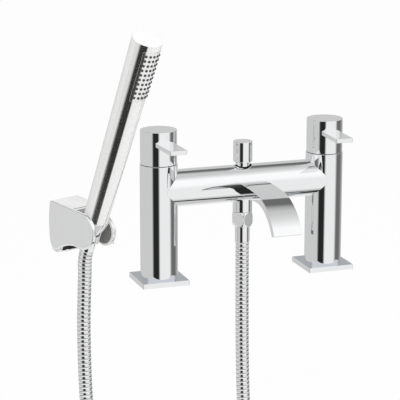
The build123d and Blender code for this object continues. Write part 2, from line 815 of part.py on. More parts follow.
with BuildPart() as cradle:
    cradle_outline = [(0, -cradle_below), (foot_outer, -cradle_below), (rim_outer, cradle_above), (0, cradle_above)]
    revolve(section(cradle_outline, handset_side), axis=handset_axis)
    with BuildSketch(bracket_side(hub_end)):
        with Locations((swivel_out, swivel_height)):
            Circle(hub_radius)
    extrude(amount=2 * hub_end)
    cone_bore = [
        (0, -cradle_below - cut_overrun),
        (cone_radius(-cradle_below - cut_overrun) + body_gap, -cradle_below - cut_overrun),
        (cone_radius(cradle_above + cut_overrun) + body_gap, cradle_above + cut_overrun),
        (0, cradle_above + cut_overrun),
    ]
    revolve(section(cone_bore, handset_side), axis=handset_axis, mode=Mode.SUBTRACT)
    with BuildSketch(handset_level(-cradle_below - cut_overrun)):
        Rectangle(rim_outer + cut_overrun, cradle_slot, align=(Align.MIN, Align.CENTER))
    extrude(amount=cradle_below + cradle_above + 2 * cut_overrun, mode=Mode.SUBTRACT)
    with BuildSketch(bracket_side(-hub_end - cut_overrun)):
        with Locations((swivel_out, swivel_height)):
            Circle(pivot_radius + fit_gap)
    extrude(amount=-pivot_sink - cut_overrun, mode=Mode.SUBTRACT)
    with BuildSketch(bracket_side(hub_end + cut_overrun)):
        with Locations((swivel_out, swivel_height)):
            Circle(disc_stud_radius + fit_gap)
    extrude(amount=disc_stud_length + cut_overrun, mode=Mode.SUBTRACT)
cradle.part.label = "cradle"
export_step(cradle.part, "parts/cradle.step")

with BuildPart() as cradle_pivot:
    with BuildSketch(bracket_side(-hub_end + pivot_sink - body_gap)):
        with Locations((swivel_out, swivel_height)):
            Circle(pivot_radius)
    extrude(amount=2 * pivot_sink - body_gap)
cradle_pivot.part.label = "cradle_pivot"
export_step(cradle_pivot.part, "parts/cradle_pivot.step")

with BuildPart() as grip_washer:
    washer_ring = [
        (hub_end, disc_stud_radius + fit_gap),
        (hub_end + grip_washer_thickness, disc_stud_radius + fit_gap),
        (hub_end + grip_washer_thickness, grip_washer_radius),
        (hub_end, grip_washer_radius),
    ]
    revolve(section(washer_ring, swivel_plane), axis=swivel_axis)
grip_washer.part.label = "grip_washer"
export_step(grip_washer.part, "parts/grip_washer.step")

disc_inside = hub_end + grip_washer_thickness
disc_outside = disc_inside + end_disc_thickness
nub_dir = out * cos(radians(nub_angle)) + upward * sin(radians(nub_angle))

with BuildPart() as end_disc:
    disc_outline = [
        (hub_end - disc_stud_length + seat_gap, 0),
        (hub_end - disc_stud_length + seat_gap, disc_stud_radius),
        (disc_inside, disc_stud_radius),
        (disc_inside, disc_radius),
        (disc_outside - disc_edge, disc_radius),
        (disc_outside, disc_radius - disc_edge),
        (disc_outside, 0),
    ]
    revolve(section(disc_outline, swivel_plane), axis=swivel_axis)
    nub_seat = swivel + across * (disc_inside + end_disc_thickness / 2) + nub_dir * (disc_radius - nub_rise)
    with BuildSketch(Plane(origin=nub_seat, x_dir=across, z_dir=nub_dir)):
        Circle(nub_radius)
    extrude(amount=2 * nub_rise)
end_disc.part.label = "end_disc"
export_step(end_disc.part, "parts/end_disc.step")

# Handset: a tapering tube with a cap, a threaded tail, and a spray face of rubber nozzles
handset_taper = (handset_top_diameter - handset_bottom_diameter) / 2 / (handset_top - handset_bottom)


def handset_radius(height):
    """Outer radius of the handset at a height above the swivel."""
    return handset_bottom_diameter / 2 + handset_taper * (height - handset_bottom)


cap_bottom = handset_top - cap_thickness
spray_top = handset_top - spray_margin
spray_bottom = spray_top - spray_length
spray_middle = (spray_top + spray_bottom) / 2
connector_bottom = handset_bottom - connector_length
cone_seat = connector_bottom - hose_washer_thickness


def spray_layer(outer_inset, thickness, gap):
    """Section of a curved layer of the spray face, under the handset's surface by an inset."""
    low = spray_bottom + gap
    high = spray_top - gap
    return [
        (handset_radius(low) - outer_inset - thickness, low),
        (handset_radius(low) - outer_inset, low),
        (handset_radius(high) - outer_inset, high),
        (handset_radius(high) - outer_inset - thickness, high),
    ]


def nozzle_planes(inset):
    """Planes square to the spray face at each nozzle, under the handset's surface by an inset."""
    planes = []
    for row in range(nozzle_rows):
        height = spray_middle + (row - (nozzle_rows - 1) / 2) * nozzle_row_pitch
        radius = handset_radius(height)
        for column in range(nozzle_columns):
            angle = (column - (nozzle_columns - 1) / 2) * nozzle_column_pitch / radius
            outward = spray_dir * cos(angle) + across * sin(angle)
            planes.append(Plane(origin=swivel + handset_dir * height + outward * (radius - inset), z_dir=outward))
    return planes


with BuildPart() as handset_body:
    body_wall = [
        (handset_radius(handset_bottom) - handset_wall, handset_bottom),
        (handset_radius(handset_bottom), handset_bottom),
        (handset_radius(cap_bottom), cap_bottom),
        (handset_radius(cap_bottom) - handset_wall, cap_bottom),
    ]
    revolve(section(body_wall, handset_side), axis=handset_axis)
    with BuildSketch(handset_level(spray_bottom)):
        Rectangle(handset_top_diameter, spray_width, align=(Align.MIN, Align.CENTER))
    extrude(amount=spray_length, mode=Mode.SUBTRACT)
handset_body.part.label = "handset_body"
export_step(handset_body.part, "parts/handset_body.step")

with BuildPart() as handset_end_cap:
    cap_plug_radius = handset_radius(cap_bottom - cap_plug_depth) - handset_wall - fit_gap
    cap_outline = [
        (cap_plug_radius - cap_plug_wall, cap_bottom - cap_plug_depth),
        (cap_plug_radius, cap_bottom - cap_plug_depth),
        (cap_plug_radius, cap_bottom),
        (handset_radius(cap_bottom), cap_bottom),
        (handset_radius(handset_top) - edge_break, handset_top),
        (0, handset_top),
        (0, cap_bottom),
        (cap_plug_radius - cap_plug_wall, cap_bottom),
    ]
    revolve(section(cap_outline, handset_side), axis=handset_axis)
handset_end_cap.part.label = "handset_end_cap"
export_step(handset_end_cap.part, "parts/handset_end_cap.step")

with BuildPart() as spray_plate:
    revolve(section(spray_layer(0, spray_plate_thickness, fit_gap), handset_side), axis=handset_axis)
    with BuildSketch(handset_level(spray_bottom)):
        Rectangle(handset_top_diameter, spray_width - 2 * fit_gap, align=(Align.MIN, Align.CENTER))
    extrude(amount=spray_length, mode=Mode.INTERSECT)
    with BuildSketch(*nozzle_planes(spray_plate_thickness + cut_overrun)):
        Circle(nozzle_radius + seat_gap)
    extrude(amount=spray_plate_thickness + 2 * cut_overrun, mode=Mode.SUBTRACT)
spray_plate.part.label = "spray_plate"
export_step(spray_plate.part, "parts/spray_plate.step")

with BuildPart() as nozzle_mat:
    mat_section = spray_layer(spray_plate_thickness, spray_mat_thickness, fit_gap)
    revolve(section(mat_section, handset_side), axis=handset_axis)
    with BuildSketch(handset_level(spray_bottom)):
        Rectangle(handset_top_diameter, spray_width - 2 * fit_gap, align=(Align.MIN, Align.CENTER))
    extrude(amount=spray_length, mode=Mode.INTERSECT)
    with BuildSketch(*nozzle_planes(spray_plate_thickness + spray_mat_thickness / 2)):
        Circle(nozzle_radius)
    extrude(amount=spray_plate_thickness + spray_mat_thickness / 2 + nozzle_rise)
nozzle_mat.part.label = "nozzle_mat"
export_step(nozzle_mat.part, "parts/nozzle_mat.step")

with BuildPart() as handset_connector:
    flange_rim = handset_radius(handset_bottom) - handset_wall - fit_gap
    connector_outline = [
        (connector_bore, connector_bottom),
        (connector_radius, connector_bottom),
        (connector_radius, handset_bottom),
        (flange_rim, handset_bottom),
        (flange_rim, handset_bottom + connector_flange),
        (connector_bore, handset_bottom + connector_flange),
    ]
    revolve(section(connector_outline, handset_side), axis=handset_axis)
handset_connector.part.label = "handset_connector"
export_step(handset_connector.part, "parts/handset_connector.step")

with BuildPart() as handset_washer:
    washer_outline = ring(hose_bore / 2, connector_radius - seat_gap, cone_seat, connector_bottom)
    revolve(section(washer_outline, handset_side), axis=handset_axis)
handset_washer.part.label = "handset_washer"
export_step(handset_washer.part, "parts/handset_washer.step")

with BuildPart() as hose_cone_nut:
    cone_outline = [
        (hose_bore / 2, -cone_drop),
        (cone_bottom_radius, -cone_drop),
        (cone_top_radius, handset_bottom - seat_gap),
        (connector_radius + seat_gap, handset_bottom - seat_gap),
        (connector_radius + seat_gap, cone_seat),
        (hose_bore / 2, cone_seat),
    ]
    revolve(section(cone_outline, handset_side), axis=handset_axis)
hose_cone_nut.part.label = "hose_cone_nut"
export_step(hose_cone_nut.part, "parts/hose_cone_nut.step")

# Hose: it drops from the outlet, lies in a coil in front, and rises to the conical nut
hose_radius = hose_diameter / 2
coil_low = hose_floor + hose_radius
coil_high = coil_low + coil_layer_step
cone_end = swivel - handset_dir * cone_drop
strand_bend = cone_end - handset_dir * strand_lead
drop_points = [
    (0, 0, ferrule_bottom),
    (0, 0, coil_low + strand_bend_rise),
    (0, -strand_bend_cut, coil_low + strand_bend_cut),
    (0, -strand_bend_rise, coil_low),
    (0, -strand_bend_run, coil_low),
]
rise_points = [
    (strand_bend.X, strand_bend.Y - strand_bend_run, coil_high),
    (strand_bend.X, strand_bend.Y - strand_bend_rise, coil_high),
    (strand_bend.X, strand_bend.Y - strand_bend_cut, coil_high + strand_bend_cut),
    (strand_bend.X, strand_bend.Y, coil_high + strand_bend_rise),
    strand_bend,
    cone_end,
]


def corner_radii(points):
    """Radius of each corner: 0.45 of its shorter run over the tangent of half its turn."""
    radii = []
    for before, corner, after in zip(points, points[1:], points[2:]):
        run_in = Vector(corner) - Vector(before)
        run_on = Vector(after) - Vector(corner)
        half_turn = radians(run_in.get_angle(run_on)) / 2
        radii.append(0.45 * min(run_in.length, run_on.length) / tan(half_turn))
    return radii


def free_run(points):
    """Centre line of a stretch of hose: straight runs joined by tangent arcs."""
    radii = corner_radii(points)
    print("hose radii", [round(radius, 1) for radius in radii])
    with BuildLine() as route:
        FilletPolyline(*points, radius=radii)
    return route.wires()[0]


def hose_level(wire, place):
    """Plane square to a centre line at a place along it, on a steady X axis."""
    return Plane(
        origin=wire.position_at(place, position_mode=PositionMode.LENGTH),
        x_dir=(1, 0, 0),
        z_dir=wire.tangent_at(place, position_mode=PositionMode.LENGTH),
    )


def rib_stations(wire):
    """Places and radii of the four circles of each rib along a centre line."""
    count = round(wire.length / rib_pitch)
    pitch = wire.length / count
    stations = []
    for rib in range(count):
        for place_share, rise_share in ((0, 0), (0.2, 0), (0.35, 1), (0.85, 1)):
            stations.append(((rib + place_share) * pitch, hose_radius - rib_depth * (1 - rise_share)))
    stations.append((wire.length, hose_radius - rib_depth))
    print("ribs", count, "length", round(wire.length, 1))
    return stations


drop_line = free_run(drop_points)
rise_line = free_run(rise_points)

with BuildPart() as hose_drop:
    for place, radius in rib_stations(drop_line):
        with BuildSketch(hose_level(drop_line, place)):
            Circle(radius)
    loft(ruled=True)
    with BuildSketch(hose_level(drop_line, 0)):
        Circle(hose_bore / 2)
    sweep(path=drop_line, mode=Mode.SUBTRACT)
hose_drop.part.label = "hose_drop"
export_step(hose_drop.part, "parts/hose_drop.step")

with BuildPart() as hose_rise:
    for place, radius in rib_stations(rise_line):
        with BuildSketch(hose_level(rise_line, place)):
            Circle(radius)
    loft(ruled=True)
    with BuildSketch(hose_level(rise_line, 0)):
        Circle(hose_bore / 2)
    sweep(path=rise_line, mode=Mode.SUBTRACT)
hose_rise.part.label = "hose_rise"
export_step(hose_rise.part, "parts/hose_rise.step")

# Coil: one and a half turns, clockwise from above, that climb a layer in the half turn behind
drop_end = Vector(*drop_points[-1])
rise_start = Vector(*rise_points[0])
coil_x = (drop_end.X + rise_start.X) / 2
coil_y = drop_end.Y - hose_diameter
loop_start = Vector(drop_end.X, coil_y, coil_low)
left_low = Vector(coil_x - coil_loop_offset, coil_y, coil_low)
right_high = Vector(coil_x + coil_loop_offset, coil_y, coil_high)
loop_end = Vector(rise_start.X, coil_y, coil_high)
climb_middle = Vector(coil_x, coil_y + coil_loop_offset, (coil_low + coil_high) / 2)
climb_dir = Vector(1, 0, 2 * coil_layer_step / (pi * coil_loop_offset)).normalized()
backwards = Vector(0, 1, 0)
forwards = Vector(0, -1, 0)


def front_of_loop(start, end):
    """Foremost point of a level half turn between two points side by side."""
    return (start + end) / 2 + forwards * (start - end).length / 2


def biarc_joint(start, start_dir, end, end_dir):
    """Where two arcs meet that leave start along start_dir and reach end along end_dir."""
    span = end - start
    along = span.dot(start_dir + end_dir)
    spread = 2 * (1 - start_dir.dot(end_dir))
    reach = (sqrt(along**2 + spread * span.dot(span)) - along) / spread
    return (start + end + (start_dir - end_dir) * reach) / 2


first_joint = biarc_joint(left_low, backwards, climb_middle, climb_dir)
second_joint = biarc_joint(climb_middle, climb_dir, right_high, forwards)

with BuildLine() as coil_route:
    Line(drop_end, loop_start)
    ThreePointArc(loop_start, front_of_loop(loop_start, left_low), left_low)
    climb_1 = TangentArc(left_low, first_joint, tangent=backwards)
    climb_2 = TangentArc(first_joint, climb_middle, tangent=climb_1 % 1)
    climb_3 = TangentArc(climb_middle, second_joint, tangent=climb_dir)
    TangentArc(second_joint, right_high, tangent=climb_3 % 1)
    ThreePointArc(right_high, front_of_loop(right_high, loop_end), loop_end)
    Line(loop_end, rise_start)
coil_line = coil_route.wires()[0]

with BuildPart() as hose_coil:
    with BuildSketch(Plane(origin=drop_end, x_dir=(1, 0, 0), z_dir=forwards)):
        Circle(hose_radius)
        Circle(hose_bore / 2, mode=Mode.SUBTRACT)
    sweep(path=coil_line)
hose_coil.part.label = "hose_coil"
export_step(hose_coil.part, "parts/hose_coil.step")


def route_samples(wire):
    """Points about a third of the hose's radius apart along a centre line."""
    count = round(3 * wire.length / hose_radius)
    return [wire.position_at(step / count) for step in range(count + 1)]


samples = route_samples(drop_line) + route_samples(coil_line) + route_samples(rise_line)
apart = round(9 * pi)
least = min(
    (first - second).length
    for index, first in enumerate(samples)
    for second in samples[index + apart :: 2]
)
hose_length = drop_line.length + coil_line.length + rise_line.length
print("least gap of the hose to itself", round(least - hose_diameter, 2))
print("coil volume over section times length", round(
    hose_coil.part.volume / (pi * (hose_radius**2 - hose_bore**2 / 4) * coil_line.length), 4
))
print("hose length free", round(hose_length, 1), "over its nuts", round(
    hose_length + nut_top - ferrule_bottom + cone_height, 1
))
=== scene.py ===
import json
import math

import bmesh
import bpy
import numpy as np
from mathutils import Matrix, Vector

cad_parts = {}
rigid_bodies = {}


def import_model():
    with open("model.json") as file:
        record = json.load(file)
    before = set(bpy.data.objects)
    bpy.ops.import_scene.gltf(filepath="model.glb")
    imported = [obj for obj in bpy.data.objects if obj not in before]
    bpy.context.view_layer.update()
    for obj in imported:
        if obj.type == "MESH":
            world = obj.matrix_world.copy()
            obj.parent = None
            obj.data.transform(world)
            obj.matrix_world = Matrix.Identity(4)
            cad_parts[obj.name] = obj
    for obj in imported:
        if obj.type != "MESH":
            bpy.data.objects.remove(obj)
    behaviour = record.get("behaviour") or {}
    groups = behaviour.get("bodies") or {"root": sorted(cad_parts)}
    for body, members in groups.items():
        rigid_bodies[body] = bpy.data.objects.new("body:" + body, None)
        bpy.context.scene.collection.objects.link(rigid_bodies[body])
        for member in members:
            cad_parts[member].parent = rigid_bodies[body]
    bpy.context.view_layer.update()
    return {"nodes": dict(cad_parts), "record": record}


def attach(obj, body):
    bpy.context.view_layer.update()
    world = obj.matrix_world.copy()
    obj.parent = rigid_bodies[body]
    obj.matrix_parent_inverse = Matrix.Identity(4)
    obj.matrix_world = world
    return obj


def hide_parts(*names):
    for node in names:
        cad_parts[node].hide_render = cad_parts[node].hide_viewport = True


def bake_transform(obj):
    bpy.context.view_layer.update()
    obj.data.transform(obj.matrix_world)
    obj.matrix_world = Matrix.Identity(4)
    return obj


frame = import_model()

mm = 0.001
print("frame loaded:", len(frame["nodes"]), "nodes")


# camera: left of the front and a little above, as in the photograph

camera = {"target": (-46.05, 0.0, 81.38), "azimuth": -19.12, "elevation": 13.9, "distance": 1812.6, "lens": 160.5}


def linked(name, data):
    thing = bpy.data.objects.new(name, data)
    bpy.context.scene.collection.objects.link(thing)
    return thing


def placeCamera(view):
    # back points from the target to the camera, right is level, and up is square to both
    turn, rise = math.radians(view["azimuth"]), math.radians(view["elevation"])
    back = np.array([math.sin(turn) * math.cos(rise), -math.cos(turn) * math.cos(rise), math.sin(rise)])
    right = np.array([math.cos(turn), math.sin(turn), 0.0])
    up = np.cross(back, right)
    data = bpy.data.cameras.new("camera")
    data.lens = view["lens"]
    data.sensor_width = 36.0
    data.clip_end = 50.0
    eye = linked("camera", data)
    pose = np.eye(4)
    pose[:3, 0], pose[:3, 1], pose[:3, 2] = right, up, back
    pose[:3, 3] = (np.array(view["target"]) + view["distance"] * back) * mm
    eye.matrix_world = Matrix(pose.tolist())
    bpy.context.scene.camera = eye


placeCamera(camera)


# shape tools

def unit(vector):
    vector = np.asarray(vector, float)
    return vector / np.linalg.norm(vector, axis=-1, keepdims=True)


def gridFaces(rows, columns, rowsClose=False):
    # one four-sided face between each point of the grid and the next ones along both ways
    i, j = np.meshgrid(np.arange(rows if rowsClose else rows - 1), np.arange(columns), indexing="ij")
    down, on = (i + 1) % rows, (j + 1) % columns
    corners = (i * columns + j, down * columns + j, down * columns + on, i * columns + on)
    return np.stack(corners, -1).reshape(-1, 4).tolist()


def cappedGrid(rows, columns):
    # a grid of rings with one face over its first ring and one over its last
    first, last = range(columns), range((rows - 1) * columns, rows * columns)
    return gridFaces(rows, columns) + [list(first)[::-1], list(last)]


def subdivided(outline, count):
    # the long sides of an outline are cut into equal runs, and its arcs stay as they are
    longSide = 5
    share = np.linspace(0, 1, count, endpoint=False)[:, None]
    sides = np.roll(outline, -1, 0) - outline
    return np.concatenate([
        point + share * side if np.linalg.norm(side) > longSide else point[None] for point, side in zip(outline, sides)
    ])


def roundedOutline(corners, radii, steps=4, closed=True):
    # each corner becomes an arc of its radius that touches both sides: the arc turns from one
    # touching point to the other about a centre on the line that halves the corner
    p = np.array(corners, float)
    r = np.broadcast_to(np.array(radii, float), len(p)).copy()
    back, on = np.roll(p, 1, 0) - p, np.roll(p, -1, 0) - p
    backLength, onLength = np.linalg.norm(back, axis=1), np.linalg.norm(on, axis=1)
    back, on = back / backLength[:, None], on / onLength[:, None]
    corner = np.arccos(np.clip((back * on).sum(1), -1, 1))
    half = np.clip(corner / 2, 1e-3, math.pi / 2 - 1e-4)
    if not closed:
        r[0] = r[-1] = 0
    reach = np.minimum(r / np.tan(half), 0.48 * np.minimum(backLength, onLength))
    radius = reach * np.tan(half)
    middle = unit(back + on + 1e-12)
    centre = p + middle * (reach / np.cos(half))[:, None]
    start, end = p + back * reach[:, None] - centre, p + on * reach[:, None] - centre
    sweep = (math.pi - corner)[:, None, None]
    share = np.linspace(0, 1, steps + 1)[None, :, None]
    safe = np.maximum(np.sin(sweep), 1e-6)
    arc = (np.sin((1 - share) * sweep) * start[:, None] + np.sin(share * sweep) * end[:, None]) / safe
    straight = (radius < 1e-6)[:, None, None] | (sweep < 1e-3)
    points = np.where(straight, p[:, None] + 0 * share, centre[:, None] + arc).reshape(-1, 2)
    gap = np.linalg.norm(points - np.roll(points, 1, 0), axis=1)
    keep = gap > 1e-5
    if not closed:
        keep[0] = True
    return points[keep]


def basis(origin, axis, across=None):
    # origin and three square directions in rows: across, side and the axis itself
    axis = unit(axis)
    if across is None:
        across = (1, 0, 0) if abs(axis[0]) < 0.8 else (0, 1, 0)
    across = unit(np.asarray(across, float) - np.dot(across, axis) * axis)
    return np.asarray(origin, float), across, np.cross(axis, across), axis


def addPiece(name, points, faces, finish, body, nodes=(), creaseAngle=40):
    # a closed mesh with its creases kept above an angle
    return finishPiece(solid(name, points, faces), finish, body, nodes, creaseAngle)


def finishPiece(piece, finish, body, nodes=(), creaseAngle=40):
    evenShading(piece, creaseAngle)
    return settle(piece, finish, body, nodes)


def evenShading(piece, creaseAngle=40):
    # smooth faces whose normals lean on the larger face, so that flats stay flat beside a round edge
    work = bmesh.new()
    work.from_mesh(piece.data)
    limit = math.radians(creaseAngle)
    for edge in work.edges:
        edge.smooth = len(edge.link_faces) == 2 and edge.calc_face_angle(0) < limit
    for face in work.faces:
        face.smooth = True
    work.to_mesh(piece.data)
    work.free()
    even = piece.modifiers.new("evenNormals", "WEIGHTED_NORMAL")
    even.mode = "FACE_AREA"
    even.weight = 100
    even.keep_sharp = True


def settle(piece, finish, body, nodes=()):
    piece.data.materials.clear()
    piece.data.materials.append(finish)
    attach(piece, body)
    if nodes:
        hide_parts(*nodes)
    return piece


def paintFaces(piece, finish, chosen):
    # a second finish on the faces that a test picks by their centre and normal; here it lays painted shade and painted
    # light on chosen faces
    piece.data.materials.append(finish)
    for face in piece.data.polygons:
        if chosen(np.array(face.center) / mm, np.array(face.normal)):
            face.material_index = len(piece.data.materials) - 1


def turned(profile, place, segments=128):
    # a profile of (radius, height) points turned round an axis
    origin, across, side, axis = place
    angle = np.linspace(0, 2 * math.pi, segments, endpoint=False)
    around = np.cos(angle)[:, None] * across + np.sin(angle)[:, None] * side
    return origin + profile[:, None, 1:2] * axis + profile[:, None, 0:1] * around[None]


def addTurned(name, profile, place, finish, body, nodes=(), segments=128, closed=False):
    points = turned(profile, place, segments)
    faces = gridFaces(len(profile), segments, rowsClose=closed)
    return addPiece(name, points, faces, finish, body, nodes)


def slabRings(outline, low, high, bevel, steps=4):
    # the outline is stacked from low to high; near each end it is drawn in along a quarter circle
    on = unit(np.roll(outline, -1, 0) - outline)
    left = np.stack([on[:, 1], -on[:, 0]], 1)
    before = np.roll(left, 1, 0)
    outward = (left + before) / (1 + (left * before).sum(1, keepdims=True))
    area = 0.5 * np.sum(outline[:, 0] * np.roll(outline[:, 1], -1) - outline[:, 1] * np.roll(outline[:, 0], -1))
    outward = outward * math.copysign(1, area)
    angle = np.linspace(0, math.pi / 2, steps + 1)
    inset = bevel * (1 - np.sin(angle))
    rise = bevel * (1 - np.cos(angle))
    insets = np.concatenate([inset, inset[::-1]])
    heights = np.concatenate([low + rise, (high - rise)[::-1]])
    flat = outline[None] - outward[None] * insets[:, None, None]
    return np.concatenate([flat, np.broadcast_to(heights[:, None, None], flat.shape[:2] + (1,))], 2)


def addSlab(name, outline, low, high, bevel, place, finish, body, nodes=(), steps=4):
    piece = slabSolid(outline, low, high, bevel, place, steps)
    piece.name = piece.data.name = name
    return finishPiece(piece, finish, body, nodes)


def solid(name, points, faces):
    # a closed mesh with its faces outwards, from points in millimetres
    mesh = bpy.data.meshes.new(name)
    mesh.from_pydata((np.asarray(points, float).reshape(-1, 3) * mm).tolist(), [], faces)
    work = bmesh.new()
    work.from_mesh(mesh)
    bmesh.ops.remove_doubles(work, verts=work.verts, dist=1e-6)
    bmesh.ops.recalc_face_normals(work, faces=work.faces)
    work.to_mesh(mesh)
    work.free()
    return linked(name, mesh)


def join(piece, other, operation):
    # takes the other solid from a piece, or adds it, and uses the other up
    piece.modifiers.clear()
    cut = piece.modifiers.new("join", "BOOLEAN")
    cut.operation = operation
    cut.solver = "MANIFOLD"
    cut.object = other
    bpy.context.view_layer.update()
    graph = bpy.context.evaluated_depsgraph_get()
    piece.data = bpy.data.meshes.new_from_object(piece.evaluated_get(graph), depsgraph=graph)
    piece.modifiers.clear()
    bpy.data.objects.remove(other)


def turnedSolid(profile, place, segments=64):
    profile = np.array(profile, float)
    return solid("cutter", turned(profile, place, segments), gridFaces(len(profile), segments))


def slabSolid(outline, low, high, bevel, place, steps=4):
    # the outline lies across and along the side of the place, and the slab stands along its axis
    origin, across, side, axis = place
    rings = slabRings(outline, low, high, bevel, steps)
    points = origin + rings[..., 0:1] * across + rings[..., 1:2] * side + rings[..., 2:3] * axis
    return solid("cutter", points, cappedGrid(*rings.shape[:2]))


def drill(piece, centre, axis, radius, length):
    # takes a round hole out of a piece, from a centre along an axis
    hole = [(0, 0), (radius, 0), (radius, length), (0, length)]
    join(piece, turnedSolid(hole, basis(centre, axis)), "DIFFERENCE")


def addCopy(name, node, finish, body):
    # a copy of a CAD node with its loose triangles merged
    mesh = frame["nodes"][node].data.copy()
    mesh.name = name
    work = bmesh.new()
    work.from_mesh(mesh)
    bmesh.ops.remove_doubles(work, verts=work.verts, dist=2e-6)
    work.to_mesh(mesh)
    work.free()
    piece = linked(name, mesh)
    evenShading(piece, 30)
    return settle(piece, finish, body, [node])


# finishes

def fill(node, values):
    for socket, value in values.items():
        node.inputs[socket].default_value = value


def toneMix(nodes, links, first, second, share):
    # the first colour where the share is nothing, and the second where it is one
    mix = nodes.new("ShaderNodeMix")
    mix.data_type = "RGBA"
    for key, value in (("A", first), ("B", second)):
        if isinstance(value, tuple):
            mix.inputs[key].default_value = (*value, 1)
        else:
            links.new(value, mix.inputs[key])
    links.new(share, mix.inputs["Factor"])
    return mix.outputs["Result"]


def newFinish(name, colour, metallic=0.0, roughness=0.4):
    finish = bpy.data.materials.new(name)
    finish.use_nodes = True
    nodes, links = finish.node_tree.nodes, finish.node_tree.links
    shader = nodes["Principled BSDF"]
    fill(shader, {"Base Color": (*colour, 1), "Metallic": metallic, "Roughness": roughness})
    coordinates = nodes.new("ShaderNodeTexCoord")
    return finish, nodes, links, shader, coordinates.outputs["Object"]


def noiseOn(nodes, links, where, scale, detail=4.0, stretch=None):
    noise = nodes.new("ShaderNodeTexNoise")
    fill(noise, {"Scale": scale, "Detail": detail})
    if stretch:
        mapping = nodes.new("ShaderNodeMapping")
        mapping.inputs["Scale"].default_value = stretch
        links.new(where, mapping.inputs["Vector"])
        where = mapping.outputs["Vector"]
    links.new(where, noise.inputs["Vector"])
    return noise.outputs["Fac"]


def spread(nodes, links, value, low, high):
    # noise from about a third to two thirds, drawn out between two values
    ranged = nodes.new("ShaderNodeMapRange")
    fill(ranged, {"From Min": 0.3, "From Max": 0.7, "To Min": low, "To Max": high})
    links.new(value, ranged.inputs["Value"])
    return ranged.outputs["Result"]


def bumpFrom(nodes, links, shader, height, strength, distance):
    bump = nodes.new("ShaderNodeBump")
    fill(bump, {"Strength": strength, "Distance": distance})
    links.new(height, bump.inputs["Height"])
    links.new(bump.outputs["Normal"], shader.inputs["Normal"])


def chromeFinish(name, colour, smooth, hazy, ripple, metallic=1.0):
    # bright plate: faint haze in patches, and a ripple that only bends reflections a little
    finish, nodes, links, shader, where = newFinish(name, colour, metallic, smooth)
    haze = noiseOn(nodes, links, where, 35.0, 5.0)
    links.new(spread(nodes, links, haze, smooth, hazy), shader.inputs["Roughness"])
    bumpFrom(nodes, links, shader, noiseOn(nodes, links, where, 55.0, 1.0), ripple, 0.0004)
    return finish


def paintPaleEdgeLight(finish, facing, metallic):
    # painted light: where the surface turns away from the view, metallic is lowered so the plating shows a paler, less
    # mirror-like tone
    nodes, links = finish.node_tree.nodes, finish.node_tree.links
    weight = nodes.new("ShaderNodeLayerWeight")
    reach = nodes.new("ShaderNodeMapRange")
    fill(reach, dict(zip(("From Min", "From Max", "To Min", "To Max"), (*facing, *metallic))))
    links.new(weight.outputs["Facing"], reach.inputs["Value"])
    links.new(reach.outputs["Result"], nodes["Principled BSDF"].inputs["Metallic"])
    return finish


def grainFinish(name, light, dark, metallic, rough, grain, depth, stretch=None):
    # two close tones mixed by noise, with the same noise as a fine grain on the surface
    finish, nodes, links, shader, where = newFinish(name, light, metallic, rough[0])
    fine = noiseOn(nodes, links, where, grain, 6.0, stretch)
    tone = toneMix(nodes, links, dark, light, spread(nodes, links, fine, 0.0, 1.0))
    links.new(tone, shader.inputs["Base Color"])
    links.new(spread(nodes, links, fine, *rough), shader.inputs["Roughness"])
    bumpFrom(nodes, links, shader, fine, 0.35, depth)
    return finish


def hoseFinish():
    # bright ribs, with painted shade in the grooves between them, where the groove attribute is one
    rib, shade = (0.9, 0.905, 0.91), (0.42, 0.42, 0.43)
    finish, nodes, links, shader, where = newFinish("hoseStrip", rib, 1.0, 0.08)
    groove = nodes.new("ShaderNodeAttribute")
    groove.attribute_name = "groove"
    links.new(toneMix(nodes, links, rib, shade, groove.outputs["Fac"]), shader.inputs["Base Color"])
    haze = noiseOn(nodes, links, where, 180.0, 4.0)
    links.new(spread(nodes, links, haze, 0.07, 0.16), shader.inputs["Roughness"])
    bumpFrom(nodes, links, shader, haze, 0.15, 0.00006)
    return finish


